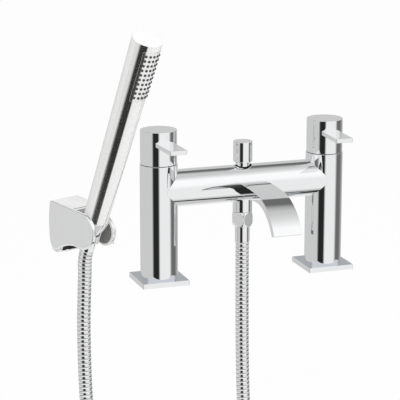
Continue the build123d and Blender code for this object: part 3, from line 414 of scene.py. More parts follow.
finishes = {
    "chrome_brass": chromeFinish("chromeOnBrass", (0.955, 0.96, 0.968), 0.02, 0.045, 0.03),
    "plated_plastic": chromeFinish("chromeOnPlastic", (0.96, 0.955, 0.945), 0.045, 0.08, 0.03, 0.95),
    # painted shade: a darker, bluish plating for the flange plates' top faces only
    "plateTopShade": chromeFinish("chromePlateTopPaintedShade", (0.56, 0.59, 0.64), 0.04, 0.08, 0.03),
    # painted shade: a near-black finish laid on recess walls, undersides, gaps and small parts where shade falls
    "paintedShade": grainFinish(
        "paintedRecessShade", (0.014, 0.012, 0.011), (0.008, 0.007, 0.007), 0.4, (0.4, 0.5), 300, 0.00004
    ),
    # painted light: the stick grows paler towards its edges
    "stickPlastic": paintPaleEdgeLight(
        chromeFinish("chromeOnStick", (0.96, 0.955, 0.95), 0.03, 0.05, 0.02, 0.95), (0.14, 0.36), (0.98, 0.42)
    ),
    "satinPlastic": chromeFinish("chromeOnCradle", (0.94, 0.94, 0.93), 0.2, 0.25, 0.0, 0.5),
    "coverPlastic": chromeFinish("chromeOnCover", (0.96, 0.97, 0.965), 0.07, 0.11, 0.03, 0.82),
    # painted light: a pale, mostly diffuse copy of the plating that makes the cover's tops and the tongue's rim
    # lighter; the handset cap takes it too
    "paintedLitPlastic": chromeFinish("paintedLitTops", (0.985, 0.985, 0.99), 0.22, 0.26, 0.0, 0.12),
    "hose_metal": hoseFinish(),
    "inner_brass": grainFinish(
        "turnedBrass", (0.74, 0.6, 0.32), (0.62, 0.48, 0.24), 1.0, (0.25, 0.38), 90, 0.0001, (1, 1, 12)
    ),
    "steel_screw": grainFinish(
        "blackenedSteel", (0.4, 0.4, 0.41), (0.28, 0.28, 0.29), 1.0, (0.3, 0.45), 400, 0.00005
    ),
    "ceramic": grainFinish(
        "lappedCeramic", (0.9, 0.9, 0.88), (0.84, 0.84, 0.82), 0.0, (0.15, 0.22), 250, 0.00003
    ),
    "seal_rubber": grainFinish(
        "sealRubber", (0.075, 0.075, 0.08), (0.05, 0.05, 0.055), 0.0, (0.55, 0.75), 700, 0.00008
    ),
    "dark_plastic": grainFinish(
        "darkWasher", (0.19, 0.19, 0.185), (0.15, 0.15, 0.146), 0.0, (0.35, 0.45), 500, 0.00004
    ),
    "white_plastic": grainFinish(
        "whitePlastic", (0.84, 0.84, 0.84), (0.8, 0.8, 0.8), 0.0, (0.3, 0.42), 300, 0.00005
    ),
}
print("finishes ready:", len(finishes))


# hose: the cord's own spline, then ribs that follow it

hose = {
    "diameter": 14.0,
    "ribPitch": 4.4,
    "around": 28,
    "grooveShare": 0.15,
    # share of a rib and radius there: a narrow groove, then a crowned rib
    "rib": ((0.0, 6.5), (0.1, 6.5), (0.18, 6.85), (0.32, 6.99), (0.72, 7.0), (0.93, 6.86)),
    "exit": (0.0, 0.0, 33.6),
    "length": 1440.0,
    "bendStart": (-170.49, 12.33, -110.0),
    "bendEnd": (-240.99, 12.33, -39.5),
}
# the route's points: down from the outlet, a turn and a half on the floor in front, and up to the
# cone nut
hosePoints = [
    (0, 0, 33.6), (0, 0, -135), (0, -21.2, -171.8), (0, -58, -193), (0, -100.5, -193),
    (0.0, -125.0, -193), (-3.5, -149.0, -193), (-19.5, -173.5, -193), (-43.0, -192.5, -193), (-71.5, -202.5, -193),
    (-103.0, -202.5, -193), (-131.0, -192.5, -193), (-155.0, -173.5, -193), (-171.0, -149.0, -193),
    (-175.5, -120.0, -193), (-173.0, -92.0, -191.5), (-159.5, -62.5, -189.5), (-137.5, -39.5, -187.5),
    (-108.5, -26.0, -185.5), (-77.5, -23.0, -183.5),
    (-47.0, -31.5, -181.5), (-22.0, -49.5, -179.8), (-4.5, -75.0, -178.0), (4.0, -104.0, -177), (2.0, -134.0, -177),
    (-11.5, -163.5, -177), (-33.5, -187.5, -177), (-62.0, -201.5, -177), (-93.5, -204.0, -177), (-123.0, -195.5, -177),
    (-147.5, -176.5, -177), (-164.0, -150.5, -177), (-170.49, -122.0, -177),
    (-170.49, -88.17, -177), (-170.49, -45.67, -177), (-168.9, -9.4, -155.8), (-166.33, 10.9, -119),
    (-167.18, 11.2, -80), (-167.37, 11.25, -40), (-166.3, 10.3, -5), (-165.9, 8.9, 14), (-167.02, 4.54, 30.8),
    (-165.446, 1.001, 40.03),
]


def splineLine(points):
    # an order 3 NURBS spline through the route, read back as the points of its own line
    curve = bpy.data.curves.new("hoseLine", "CURVE")
    curve.dimensions = "3D"
    curve.resolution_u = 24
    spline = curve.splines.new("NURBS")
    spline.points.add(len(points) - 1)
    for point, place in zip(spline.points, points):
        point.co = (place[0] * mm, place[1] * mm, place[2] * mm, 1)
    spline.order_u = 3
    spline.use_endpoint_u = True
    spline.use_cyclic_u = False
    line = linked("hoseLine", curve)
    mesh = bpy.data.meshes.new_from_object(line)
    path = np.zeros(len(mesh.vertices) * 3)
    mesh.vertices.foreach_get("co", path)
    bpy.data.objects.remove(line)
    path = path.reshape(-1, 3) / mm
    step = np.linalg.norm(np.diff(path, axis=0), axis=1)
    return path[np.concatenate([[True], step > 1e-4])]


def hoseMesh(path):
    # rings square to the line at each station of each rib; each ring's side direction is the last
    # one's with what lies along the new tangent taken out
    step = np.concatenate([[0], np.cumsum(np.linalg.norm(np.diff(path, axis=0), axis=1))])
    ribs = round(step[-1] / hose["ribPitch"])
    pitch = step[-1] / ribs
    shares, radii = np.array(hose["rib"]).T
    stations = ((np.arange(ribs)[:, None] + shares) * pitch).ravel()
    radii = np.tile(radii, ribs)
    # one in the grooves, which the hose finish darkens as painted shade
    groove = np.tile(np.where(shares < hose["grooveShare"], 1.0, 0.0), ribs)
    ends = ((stations, step[-1]), (radii, radii[0]), (groove, 1.0))
    stations, radii, groove = (np.append(values, last) for values, last in ends)
    centres = np.stack([np.interp(stations, step, path[:, k]) for k in range(3)], 1)
    tangents = unit(np.gradient(centres, stations, axis=0))
    sides = np.zeros_like(tangents)
    side = np.array([1.0, 0.0, 0.0])
    for index, tangent in enumerate(tangents):
        side = unit(side - side.dot(tangent) * tangent)
        sides[index] = side
    others = np.cross(tangents, sides)
    angle = np.linspace(0, 2 * math.pi, hose["around"], endpoint=False)
    rings = sides[:, None] * np.cos(angle)[:, None] + others[:, None] * np.sin(angle)[:, None]
    points = centres[:, None] + rings * radii[:, None, None]
    count = hose["around"]
    faces = cappedGrid(len(stations), count)
    faces[:-2] = [face[::-1] for face in faces[:-2]]
    print("hose ribs:", ribs, "length:", round(step[-1], 1))
    return points.reshape(-1, 3), faces, np.repeat(groove, count)


def addHose():
    path = splineLine(hosePoints)
    points, faces, groove = hoseMesh(path)
    mesh = bpy.data.meshes.new("ribbedHose")
    mesh.from_pydata((points * mm).tolist(), [], faces)
    mesh.polygons.foreach_set("use_smooth", [True] * len(mesh.polygons))
    # the groove attribute carries the painted shade of the grooves
    mesh.attributes.new("groove", "FLOAT", "POINT").data.foreach_set("value", groove.astype(np.float32))
    mesh.update()
    piece = linked("ribbedHose", mesh)
    mesh.materials.append(finishes["hose_metal"])
    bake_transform(piece)
    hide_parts("hose_drop", "hose_coil", "hose_rise")


addHose()
print("hose made")


# pillars, flange plates and handles

pillar = {
    "spacing": 180.0, "radius": 19.15, "top": 122.6, "inlet": 12.05, "inletDepth": 20.0, "edge": 0.35,
    "seat": 12.5, "seatHeight": 84.0, "waterway": 8.0,
}
plate = {"half": 24.55, "thickness": 5.1, "corner": 0.6, "edge": 0.4, "hole": 19.2}
handle = {"radius": 18.6, "bottom": 123.0, "top": 157.6, "cavity": 14.5, "cavityTop": 133.0, "edge": 0.4}
grubHole = {"out": 12.0, "height": 140.0, "radius": 2.05, "length": 10.0}
lever = {"half": 8.85, "root": 9.05, "reach": 58.3, "top": 147.4, "thickness": 4.4, "corner": 0.8, "edge": 0.4}
leverTurns = {"left": 2.07, "right": -2.81}


def plateRings(size, steps=3):
    # a square with rounded corners outside and a circle inside, joined by rings: the circle's foot,
    # the square's foot, its rounded upper edge, and the circle's top
    half = size["half"]
    corners = [(half, half), (-half, half), (-half, -half), (half, -half)]
    square = subdivided(roundedOutline(corners, size["corner"], 5), 14)
    circle = unit(square) * size["hole"]
    angle = np.linspace(0, math.pi / 2, steps + 1)
    rings = [np.column_stack([line, np.zeros(len(line))]) for line in (circle, square)]
    for a in angle:
        inset = size["edge"] * (1 - math.cos(a))
        rise = size["thickness"] - size["edge"] * (1 - math.sin(a))
        rings.append(np.column_stack([square * (1 - inset / half), np.full(len(square), rise)]))
    rings.append(np.column_stack([circle, np.full(len(circle), size["thickness"])]))
    return np.array(rings)


for side, sign in (("left", -1), ("right", 1)):
    foot = basis((sign * pillar["spacing"] / 2, 0, 0), (0, 0, 1))
    post = roundedOutline(
        [(pillar["inlet"], 0), (pillar["radius"], 0), (pillar["radius"], pillar["top"]),
         (pillar["seat"], pillar["top"]), (pillar["seat"], pillar["seatHeight"]),
         (pillar["waterway"], pillar["seatHeight"]), (pillar["waterway"], pillar["inletDepth"]),
         (pillar["inlet"], pillar["inletDepth"])],
        [0.2, 0.2, pillar["edge"], 0.3, 0.2, 0.2, 0.2, 0.2],
    )
    addTurned(
        side + "Post", post, foot, finishes["chrome_brass"], "mixer", [side + "_pillar"], closed=True,
    )

    rings = plateRings(plate)
    base = addPiece(
        side + "FootPlate", foot[0] + rings, gridFaces(len(rings), rings.shape[1], rowsClose=True),
        finishes["chrome_brass"], "mixer", [side + "_flange_plate"],
    )
    # painted shade on the plates' top faces
    paintFaces(base, finishes["plateTopShade"], lambda at, facing: at[2] > plate["thickness"] - 0.01)

    group = side + "_handle_group"
    barrel = roundedOutline(
        [(0, handle["cavityTop"]), (handle["cavity"], handle["cavityTop"]), (handle["cavity"], handle["bottom"]),
         (handle["radius"], handle["bottom"]), (handle["radius"], handle["top"]), (0, handle["top"])],
        [0, 0.3, 0.3, handle["edge"], handle["edge"], 0], closed=False,
    )
    knob = addTurned(
        side + "Barrel", barrel, foot, finishes["chrome_brass"], group, [side + "_handle"],
    )
    grub = foot[0] + np.array([0, grubHole["out"], grubHole["height"]])
    drill(knob, grub, (0, 1, 0), grubHole["radius"], grubHole["length"])
    evenShading(knob)

    turn = math.radians(leverTurns[side])
    arm = basis(foot[0], (0, 0, 1), (math.cos(turn), math.sin(turn), 0))
    outline = roundedOutline(
        [(-lever["half"], -lever["root"]), (-lever["half"], -lever["reach"]), (lever["half"], -lever["reach"]),
         (lever["half"], -lever["root"])],
        [0.2, lever["corner"], lever["corner"], 0.2],
    )
    addSlab(
        side + "Lever", outline, lever["top"] - lever["thickness"], lever["top"], lever["edge"], arm,
        finishes["chrome_brass"], group, [side + "_lever"],
    )
print("pillars, plates and handles made")


# bridge tube, diverter knob and spout

tube = {
    "radius": 19.0, "height": 96.0, "saddle": 19.25, "bore": 15.55, "bushHole": 9.25, "bushStart": 4.0,
    "bushDepth": 20.0, "recessFoot": 105.0,
}


def tubePoints(size, around=144, along=48):
    # a round tube whose ends follow the pillars: at a distance y from the middle plane the tube ends
    # where the pillar's circle starts; outer wall one way, bore the other
    angle = np.linspace(0, 2 * math.pi, around, endpoint=False)
    share = np.linspace(-1, 1, along)[:, None]
    rows = []
    for radius, span in ((size["radius"], share), (size["bore"], -share)):
        y, z = radius * np.cos(angle), size["height"] + radius * np.sin(angle)
        end = pillar["spacing"] / 2 - np.sqrt(size["saddle"] ** 2 - y**2)
        x = span * end[None]
        rows.append(np.stack([x, np.broadcast_to(y, x.shape), np.broadcast_to(z, x.shape)], -1))
    return np.concatenate(rows)


points = tubePoints(tube)
bridge = addPiece(
    "bridgeTube", points, gridFaces(points.shape[0], points.shape[1], rowsClose=True),
    finishes["chrome_brass"], "mixer", ["bridge_tube"],
)
drill(bridge, (0, 0, tube["height"] + tube["bushStart"]), (0, 0, 1), tube["bushHole"], tube["bushDepth"])
evenShading(bridge)


def recessShadeMask(at, facing):
    # painted shade: the wall of the knob's recess takes the near-black finish
    return math.hypot(at[0], at[1]) < tube["bushHole"] + 0.05 and at[2] > tube["recessFoot"]


paintFaces(bridge, finishes["paintedShade"], recessShadeMask)

spout = {
    "half": 14.7, "wall": 1.7, "edge": 0.45,
    "tail": (14.0, 102.6), "root": (19.1, 102.6), "crown": (51.99, 103.8), "bend": (80.01, 102.6),
    "tip": (126.5, 71.8), "lip": (120.175, 69.5), "hook": (107.525, 84.4), "underBend": (74.0, 94.2),
    "underRoot": (19.1, 92.2), "underTail": (14.0, 92.2),
}


def arcFrom(start, tangent, end, count=60):
    # the circle that leaves start along a tangent and passes through end; also gives its last tangent
    start, tangent, end = np.array(start, float), unit(tangent), np.array(end, float)
    chord = end - start
    normal = np.array([-tangent[1], tangent[0]])
    radius = chord.dot(chord) / (2 * normal.dot(chord))
    centre = start + normal * radius
    first = math.atan2(*(start - centre)[::-1])
    last = math.atan2(*(end - centre)[::-1])
    sweep = (last - first + math.pi) % (2 * math.pi) - math.pi
    angle = first + sweep * np.linspace(0, 1, count)
    points = centre + abs(radius) * np.stack([np.cos(angle), np.sin(angle)], 1)
    turn = math.copysign(1, sweep)
    return points, turn * np.array([-math.sin(angle[-1]), math.cos(angle[-1])])


def arcThrough(start, middle, end, count=60):
    # the circle through three points, from its tangent at the first
    a, b, c = (np.array(p, float) for p in (start, middle, end))
    sides = np.stack([b - a, c - a])
    centre = a + np.linalg.solve(2 * sides, (sides**2).sum(1))
    spoke = a - centre
    tangent = np.array([-spoke[1], spoke[0]])
    if tangent.dot(b - a) < 0:
        tangent = -tangent
    return arcFrom(start, tangent, end, count)


def evenly(line, count):
    step = np.concatenate([[0], np.cumsum(np.linalg.norm(np.diff(line, axis=0), axis=1))])
    keep = np.concatenate([[True], np.diff(step) > 1e-9])
    at = np.linspace(0, step[-1], count)
    return np.stack([np.interp(at, step[keep], line[keep, k]) for k in range(2)], 1)


def spoutSkin(size, count=90, corner=5):
    # at each station a rounded rectangle stands between a point of the top line and one of the
    # underside; at the mouth it turns in over the lip and runs back as the inner wall
    crown, leave = arcThrough(size["root"], size["crown"], size["bend"])
    fall, _ = arcFrom(size["bend"], leave, size["tip"])
    top = evenly(np.concatenate([[size["tail"]], crown, fall]), count)
    hook, leave = arcThrough(size["lip"], size["hook"], size["underBend"])
    back, _ = arcFrom(size["underBend"], leave, size["underRoot"])
    under = evenly(np.concatenate([hook, back, [size["underTail"]]])[::-1], count)
    middle, half = (top + under) / 2, np.linalg.norm(top - under, axis=1) / 2
    upright = unit(top - under)
    alongTip = unit((top[-1] - top[-2]) + (under[-1] - under[-2]))
    edge, wall = size["edge"], size["wall"]
    quarter = np.linspace(0, math.pi / 2, corner)
    bends = np.concatenate([quarter + k * math.pi / 2 for k in range(4)])
    signX = np.repeat([1, -1, -1, 1], corner)
    signZ = np.repeat([1, 1, -1, -1], corner)
    rows = []
    roll = np.linspace(0, math.pi / 2, 4)[1:]
    outer = [(k, 0.0, 0.0) for k in range(count - 1)] + [(count - 1, 0.0, -edge)]
    outer += [(count - 1, edge * (1 - math.cos(a)), -edge * (1 - math.sin(a))) for a in roll]
    outer += [(count - 1, wall - 0.2, 0.0), (count - 1, wall, -0.25)]
    outer += [(k, wall, 0.0) for k in range(count - 3, count // 3, -1)]
    for k, inset, forward in outer:
        rounding = max(edge - inset * 0.4, 0.15)
        x = signX * (size["half"] - inset - rounding) + rounding * np.cos(bends)
        z = signZ * (half[k] - inset - rounding) + rounding * np.sin(bends)
        flat = middle[k] + z[:, None] * upright[k] + forward * alongTip
        rows.append(np.stack([x, -flat[:, 0], flat[:, 1]], 1))
    return np.array(rows)


rings = spoutSkin(spout)
faces = cappedGrid(*rings.shape[:2])
addPiece("curvedSpout", rings, faces, finishes["chrome_brass"], "mixer", ["spout"])

diverter = {"radius": 9.8, "bottom": 119.4, "top": 139.8, "rounding": 1.0, "neck": 5.5, "neckBottom": 109.1,
            "neckTop": 118.9, "collar": 113.5, "collarRadius": 7.4, "edge": 0.6}
lift = basis((0, 0, 0), (0, 0, 1))
profile = roundedOutline(
    [(0, diverter["bottom"] - diverter["rounding"]),
     (diverter["radius"], diverter["bottom"] - diverter["rounding"]),
     (diverter["radius"], diverter["top"]), (0, diverter["top"])],
    [0, diverter["rounding"], diverter["edge"], 0], steps=6, closed=False,
)
addTurned("pullKnob", profile, lift, finishes["chrome_brass"], "diverter_group", ["diverter_knob"])
profile = roundedOutline(
    [(0, diverter["neckBottom"]), (diverter["neck"], diverter["neckBottom"]),
     (diverter["neck"], diverter["collar"]), (diverter["collarRadius"], diverter["collar"]),
     (diverter["collarRadius"], diverter["neckTop"]), (0, diverter["neckTop"])],
    [0, 0.2, 0.3, 0.9, 0.1, 0], closed=False,
)
addTurned("knobNeck", profile, lift, finishes["chrome_brass"], "diverter_group", segments=96)
# painted shade: the guide bush under the knob is near black, for the dark ring seen below the knob
addCopy("guideBush", "diverter_guide_bush", finishes["paintedShade"], "mixer")
print("tube, spout and diverter made")


# hose outlet under the tube

outlet = {"radius": 10.0, "top": 81.95, "shoulder": 66.3, "thread": 8.4, "threadEnd": 54.7, "bore": 5.5}
ferrule = {
    "radius": 7.6, "bottom": 33.6, "top": 51.1, "neck": 6.7, "bore": 4.5, "headBottom": 52.2, "headTop": 53.3,
    "head": 8.3,
}
profile = roundedOutline(
    [(outlet["bore"], outlet["threadEnd"]), (outlet["thread"], outlet["threadEnd"]),
     (outlet["thread"], outlet["shoulder"]), (outlet["radius"], outlet["shoulder"]),
     (outlet["radius"], outlet["top"]), (outlet["bore"], outlet["top"])],
    [0.2, 0.3, 0.2, 0.7, 0.3, 0.2],
)
addTurned(
    "outletSpigot", profile, lift, finishes["chrome_brass"], "mixer", ["outlet_spigot"], closed=True,
)
profile = roundedOutline(
    [(ferrule["bore"], ferrule["bottom"]), (ferrule["radius"], ferrule["bottom"]), (ferrule["radius"], ferrule["top"]),
     (ferrule["neck"], ferrule["top"]), (ferrule["neck"], ferrule["headBottom"]),
     (ferrule["head"], ferrule["headBottom"]), (ferrule["head"], ferrule["headTop"]),
     (ferrule["bore"], ferrule["headTop"])],
    [0.3, 0.8, 0.6, 0.1, 0.1, 0.1, 0.2, 0.2],
)
addTurned(
    "hoseFerrule", profile, lift, finishes["chrome_brass"], "mixer", ["outlet_ferrule"], closed=True,
)
nut = {
    "corner": 11.3, "crown": 0.86, "bottom": 51.2, "top": 66.0, "turn": 19.0, "bore": 8.45, "lip": 0.9,
    "lipBore": 6.75,
}


def nutPoints(size, around=180, along=24):
    # at each height the wall is the nearer of the hexagon's side and a crown that bulges round the
    # middle: the crown is an arc through the end radius and the corner radius
    angle = np.linspace(0, 2 * math.pi, around, endpoint=False)
    half = (size["top"] - size["bottom"]) / 2
    rise = size["corner"] * (1 - size["crown"])
    bulge = (half**2 + rise**2) / (2 * rise)
    height = half * np.sin(np.linspace(-math.pi / 2, math.pi / 2, along))
    crown = size["corner"] - bulge + np.sqrt(bulge**2 - height**2)
    facing = (angle - math.radians(size["turn"])) % (math.pi / 3) - math.pi / 6
    hexagon = size["corner"] * math.cos(math.pi / 6) / np.cos(facing)
    radius = np.minimum(hexagon[None], crown[:, None])
    middle = (size["top"] + size["bottom"]) / 2
    inside = [(size["bore"], size["top"]), (size["bore"], size["bottom"] + size["lip"]),
              (size["lipBore"], size["bottom"] + size["lip"]), (size["lipBore"], size["bottom"])]
    radius = np.concatenate([radius, np.repeat([[r] for r, _ in inside], around, 1)])
    height = np.concatenate([middle + height, [h for _, h in inside]])
    return np.stack([radius * np.cos(angle), radius * np.sin(angle), np.repeat(height[:, None], around, 1)], -1)


points = nutPoints(nut)
addPiece(
    "unionNut", points, gridFaces(len(points), points.shape[1], rowsClose=True), finishes["chrome_brass"], "mixer",
    ["outlet_hex_nut"], creaseAngle=9,
)
print("outlet made")


# bracket, cradle and handset

swivelYaw, handsetLean = math.radians(24.0), math.radians(22.8)
across = np.array([math.cos(swivelYaw), math.sin(swivelYaw), 0.0])
out = np.array([math.sin(swivelYaw), -math.cos(swivelYaw), 0.0])
upward = np.array([0.0, 0.0, 1.0])
bracketFoot = np.array([-165.0, 0.0, 0.0])
swivelOut, swivelHeight = 6.5, 58.1
swivel = bracketFoot + swivelOut * out + swivelHeight * upward
stickDir = out * math.sin(handsetLean) + upward * math.cos(handsetLean)
sprayDir = out * math.cos(handsetLean) - upward * math.sin(handsetLean)
stick = basis(swivel, stickDir, sprayDir)
axle = basis(swivel, across, out)

cover = {
    "half": 18.5, "cheek": 4.1, "nose": (12.9, 64.6), "noseRadius": 18.4, "foot": (15.3, 45.9), "slant": (-1.1, 46.7),
    "arch": (-15.5, 43.6), "heel": (-27.0, 37.2), "heelRounding": 11.0, "back": -38.0, "topBack": (-36.5, 87.4),
    "bow": (-38.8, 66.0), "topFront": (3.8, 83.6), "front": -4.0, "edge": 1.4, "wall": 2.4, "hollow": -18.5,
    "swing": 22.7, "pivot": 4.1, "pivotSink": 3.2, "step": 0.4, "rounding": 2.0, "farWall": 1.7,
    "hollowFoot": 30.0, "shadeReach": 14.5, "shadeTop": 50.0,
}


def coverSolid(size):
    # the near cheek with its round nose and the block behind it are joined, then the hollow at the
    # wall and the room for the swinging cradle are taken out
    place = (bracketFoot, out, upward, -across)
    turn = np.radians(np.linspace(-60, 75, 40))
    nose = np.array(size["nose"]) + size["noseRadius"] * np.stack([np.cos(turn), np.sin(turn)], 1)
    arch = arcThrough(size["heel"], size["arch"], size["slant"], 12)[0]
    turn = np.radians(np.linspace(180, 262, 16))
    rounding = np.array([size["back"], size["heel"][1]]) + size["heelRounding"]
    heel = rounding + size["heelRounding"] * np.stack([np.cos(turn), np.sin(turn)], 1)
    bow = arcThrough(size["topBack"], size["bow"], heel[0], 10)[0][:-1]
    cheek = np.concatenate([nose, [size["topFront"]], bow, heel, arch[1:], [size["foot"]]])
    radii = np.zeros(len(cheek))
    radii[[len(nose), len(nose) + 1, -1]] = size["rounding"]
    near = size["half"] - size["cheek"]
    piece = slabSolid(roundedOutline(cheek, radii, 8), near, size["half"], size["edge"], place)
    arch = arch[arch[:, 0] < size["front"] - 1.0]
    step = size["step"]
    heel = rounding + (size["heelRounding"] - step) * np.stack([np.cos(turn), np.sin(turn)], 1)
    front = [
        (size["front"], size["slant"][1] + step), (size["front"], size["topFront"][1] - step),
        (size["back"] + step, size["topBack"][1] - step),
    ]
    block = np.concatenate([front, heel, arch[1:] + [(0.0, step)]])
    radii = np.zeros(len(block))
    radii[:len(front)] = size["rounding"]
    block = roundedOutline(block, radii, 8)
    join(piece, slabSolid(block, -size["half"], size["half"] - size["farWall"], size["edge"], place), "UNION")
    inside, behind, ceiling = size["half"] - size["wall"], size["back"] - 1, size["topFront"][1] - size["wall"]
    box = np.array([
        (behind, size["hollowFoot"]), (size["hollow"], size["hollowFoot"]), (size["hollow"], ceiling),
        (behind, ceiling),
    ])
    join(piece, slabSolid(box, -inside, inside, 0.01, place, 1), "DIFFERENCE")
    swing = [(0, -near), (size["swing"], -near), (size["swing"], size["half"] + 1), (0, size["half"] + 1)]
    join(piece, turnedSolid(swing, axle, 128), "DIFFERENCE")
    drill(piece, swivel - across * (near - 0.1), -across, size["pivot"], size["pivotSink"] + 0.1)
    piece.name = "bracketCover"
    return piece


shell = finishPiece(coverSolid(cover), finishes["coverPlastic"], "mixer", ["bracket_cover"], 35)
# painted light: the cover's upward faces take the paler finish so the top reads lighter than the sides
paintFaces(shell, finishes["paintedLitPlastic"], lambda at, facing: facing[2] > 0.97)


def underCoverShadeMask(at, facing):
    # painted shade: the underside between the cheeks takes the near-black finish
    return facing[2] < -0.25 and (at - bracketFoot) @ -across < cover["shadeReach"] and at[2] < cover["shadeTop"]


def swingRoomShadeMask(at, facing):
    # painted shade: the round wall that the cradle swings in takes the near-black finish
    fromAxle = np.linalg.norm(np.cross(at - swivel, across))
    return abs(fromAxle - cover["swing"]) < 0.4 and abs(facing @ across) < 0.3


paintFaces(shell, finishes["paintedShade"], underCoverShadeMask)
paintFaces(shell, finishes["paintedShade"], swingRoomShadeMask)
tongue = {
    "under": np.array([(-25.8, 36.5), (-21.0, 36.2), (-15.0, 37.9), (-11.5, 39.9)]), "lip": 1.3,
    "over": np.array([(-11.5, 44.4), (-15.5, 43.2), (-24.0, 41.0)]), "half": 15.7, "lipHalf": 16.4,
}
mount = (bracketFoot, out, upward, -across)
outline = np.concatenate([tongue["under"] + (0.1, 0.7), tongue["over"]])
# painted shade: the tongue's side is a near-black block
addSlab(
    "mountTongueShadeBlock", roundedOutline(outline, 0.3, 2), -tongue["half"], tongue["half"], 0.25, mount,
    finishes["paintedShade"], "mixer",
)
outline = np.concatenate([tongue["under"], tongue["under"][::-1] + (-0.2, tongue["lip"])])
# painted light: a thin pale sliver under the tongue stands for its lit lower rim
addSlab(
    "tongueLitRimSliver", roundedOutline(outline, 0.2, 2), -tongue["lipHalf"], tongue["lipHalf"], 0.2, mount,
    finishes["paintedLitPlastic"], "mixer",
)

cradle = {
    "low": -12.0, "high": 17.4, "foot": 9.3, "waist": 9.4, "waistHeight": 2.5, "rim": 13.7, "hub": 14.6,
    "hubEnd": 14.3, "hubStop": -8.2, "slot": 14.8, "slotRoot": 2.13, "slotReach": 20.0, "slotOver": 6.0,
    "gap": 0.25, "edge": 0.5,
}
cone = {"top": 17.9, "bottom": -19.6, "wide": 12.4, "waist": 7.25, "waistHeight": 2.0, "narrow": 7.1}


def cradleSolid(size):
    # a waisted cone and a hub across it, less the room for the cone nut and the slot on the spray side
    profile = roundedOutline(
        [(0, size["low"]), (size["foot"], size["low"]), (size["waist"], size["waistHeight"]),
         (size["rim"], size["high"]), (0, size["high"])],
        [0, size["edge"], 3.0, size["edge"], 0], closed=False,
    )
    piece = turnedSolid(profile, stick, 96)
    hub = roundedOutline(
        [(0, -size["hubEnd"]), (size["hub"], -size["hubEnd"]), (size["hub"], size["hubStop"]), (0, size["hubStop"])],
        [0, size["edge"], size["edge"], 0], closed=False,
    )
    join(piece, turnedSolid(hub, axle, 96), "UNION")
    gap = size["gap"]
    bore = [
        (0, cone["bottom"] - 1), (cone["narrow"] + gap, cone["bottom"] - 1), (cone["waist"] + gap, cone["waistHeight"]),
        (cone["wide"] + gap, cone["top"]), (0, cone["top"]),
    ]
    join(piece, turnedSolid(bore, stick, 96), "DIFFERENCE")
    half, root, reach, over = size["slot"] / 2, size["slotRoot"], size["slotReach"], size["slotOver"]
    box = np.array([(root, -half), (reach, -half), (reach, half), (root, half)])
    join(piece, slabSolid(box, size["low"] - over, size["high"] + over, 0.01, stick, 1), "DIFFERENCE")
    piece.name = "tiltCradle"
    return piece


finishPiece(cradleSolid(cradle), finishes["plated_plastic"], "cradle_group", ["cradle"], 35)

disc = {
    "radius": 15.5, "inside": 15.1, "outside": 19.1, "edge": 0.8, "groove": 17.3, "grooveRadius": 15.0,
    "grooveMouth": 0.35, "grooveFloor": 0.25,
}
profile = roundedOutline(
    [(0, disc["inside"]), (disc["radius"], disc["inside"]),
     (disc["radius"], disc["groove"] - disc["grooveMouth"]),
     (disc["grooveRadius"], disc["groove"] - disc["grooveFloor"]),
     (disc["grooveRadius"], disc["groove"] + disc["grooveFloor"]),
     (disc["radius"], disc["groove"] + disc["grooveMouth"]),
     (disc["radius"], disc["outside"]), (0, disc["outside"])],
    [0, 0.5, 0.15, 0.1, 0.1, 0.15, disc["edge"], 0], closed=False,
)
addTurned("endDisc", profile, axle, finishes["satinPlastic"], "cradle_group", ["end_disc"])


def rod(radius, start, end, radii):
    # the outline of a plain round rod or disc, with its two edges rounded
    return roundedOutline([(0, start), (radius, start), (radius, end), (0, end)], [0, *radii, 0], closed=False)


nubSize = {"turn": math.radians(-40), "along": 17.1, "out": 13.9, "radius": 1.1, "length": 3.2}
pinSize = {"radius": 1.3, "start": 8.0, "end": 14.3}
washerSize = {"radius": 13.0, "start": 14.1, "end": 15.1}
nubDir = out * math.cos(nubSize["turn"]) + upward * math.sin(nubSize["turn"])
nub = basis(swivel + across * nubSize["along"] + nubDir * nubSize["out"], nubDir)
profile = rod(nubSize["radius"], 0, nubSize["length"], (0.1, 0.35))
addTurned("discNub", profile, nub, finishes["plated_plastic"], "cradle_group", segments=32)
profile = rod(pinSize["radius"], pinSize["start"], pinSize["end"], (0.2, 0.2))
# painted shade: the pin in the pivot hole takes the near-black finish
addTurned("cradlePin", profile, axle, finishes["paintedShade"], "cradle_group", segments=48)
profile = rod(washerSize["radius"], washerSize["start"], washerSize["end"], (0.3, 0.3))
addTurned("gripRing", profile, axle, finishes["dark_plastic"], "cradle_group", ["grip_washer"])

handset = {"bottom": 18.0, "top": 222.9, "foot": 12.5, "head": 15.0, "capBottom": 221.3}


def stickRadius(height):
    widening = handset["head"] - handset["foot"]
    return handset["foot"] + widening * (height - handset["bottom"]) / (handset["top"] - handset["bottom"])


profile = roundedOutline(
    [(0, handset["bottom"]), (handset["foot"], handset["bottom"]),
     (stickRadius(handset["capBottom"]), handset["capBottom"]), (0, handset["capBottom"])],
    [0, 0.35, 0.12, 0], closed=False,
)
addTurned(
    "handsetStick", profile, stick, finishes["stickPlastic"], "handset_group", ["handset_body"],
)
profile = roundedOutline(
    [(0, handset["capBottom"]), (stickRadius(handset["capBottom"]), handset["capBottom"]),
     (handset["head"], handset["top"]), (0, handset["top"])],
    [0, 0.12, 0.5, 0], closed=False,
)
# the cap takes the pale, mostly diffuse finish that paints the cover's tops lighter
addTurned(
    "handsetCap", profile, stick, finishes["paintedLitPlastic"], "handset_group", ["handset_end_cap"],
)

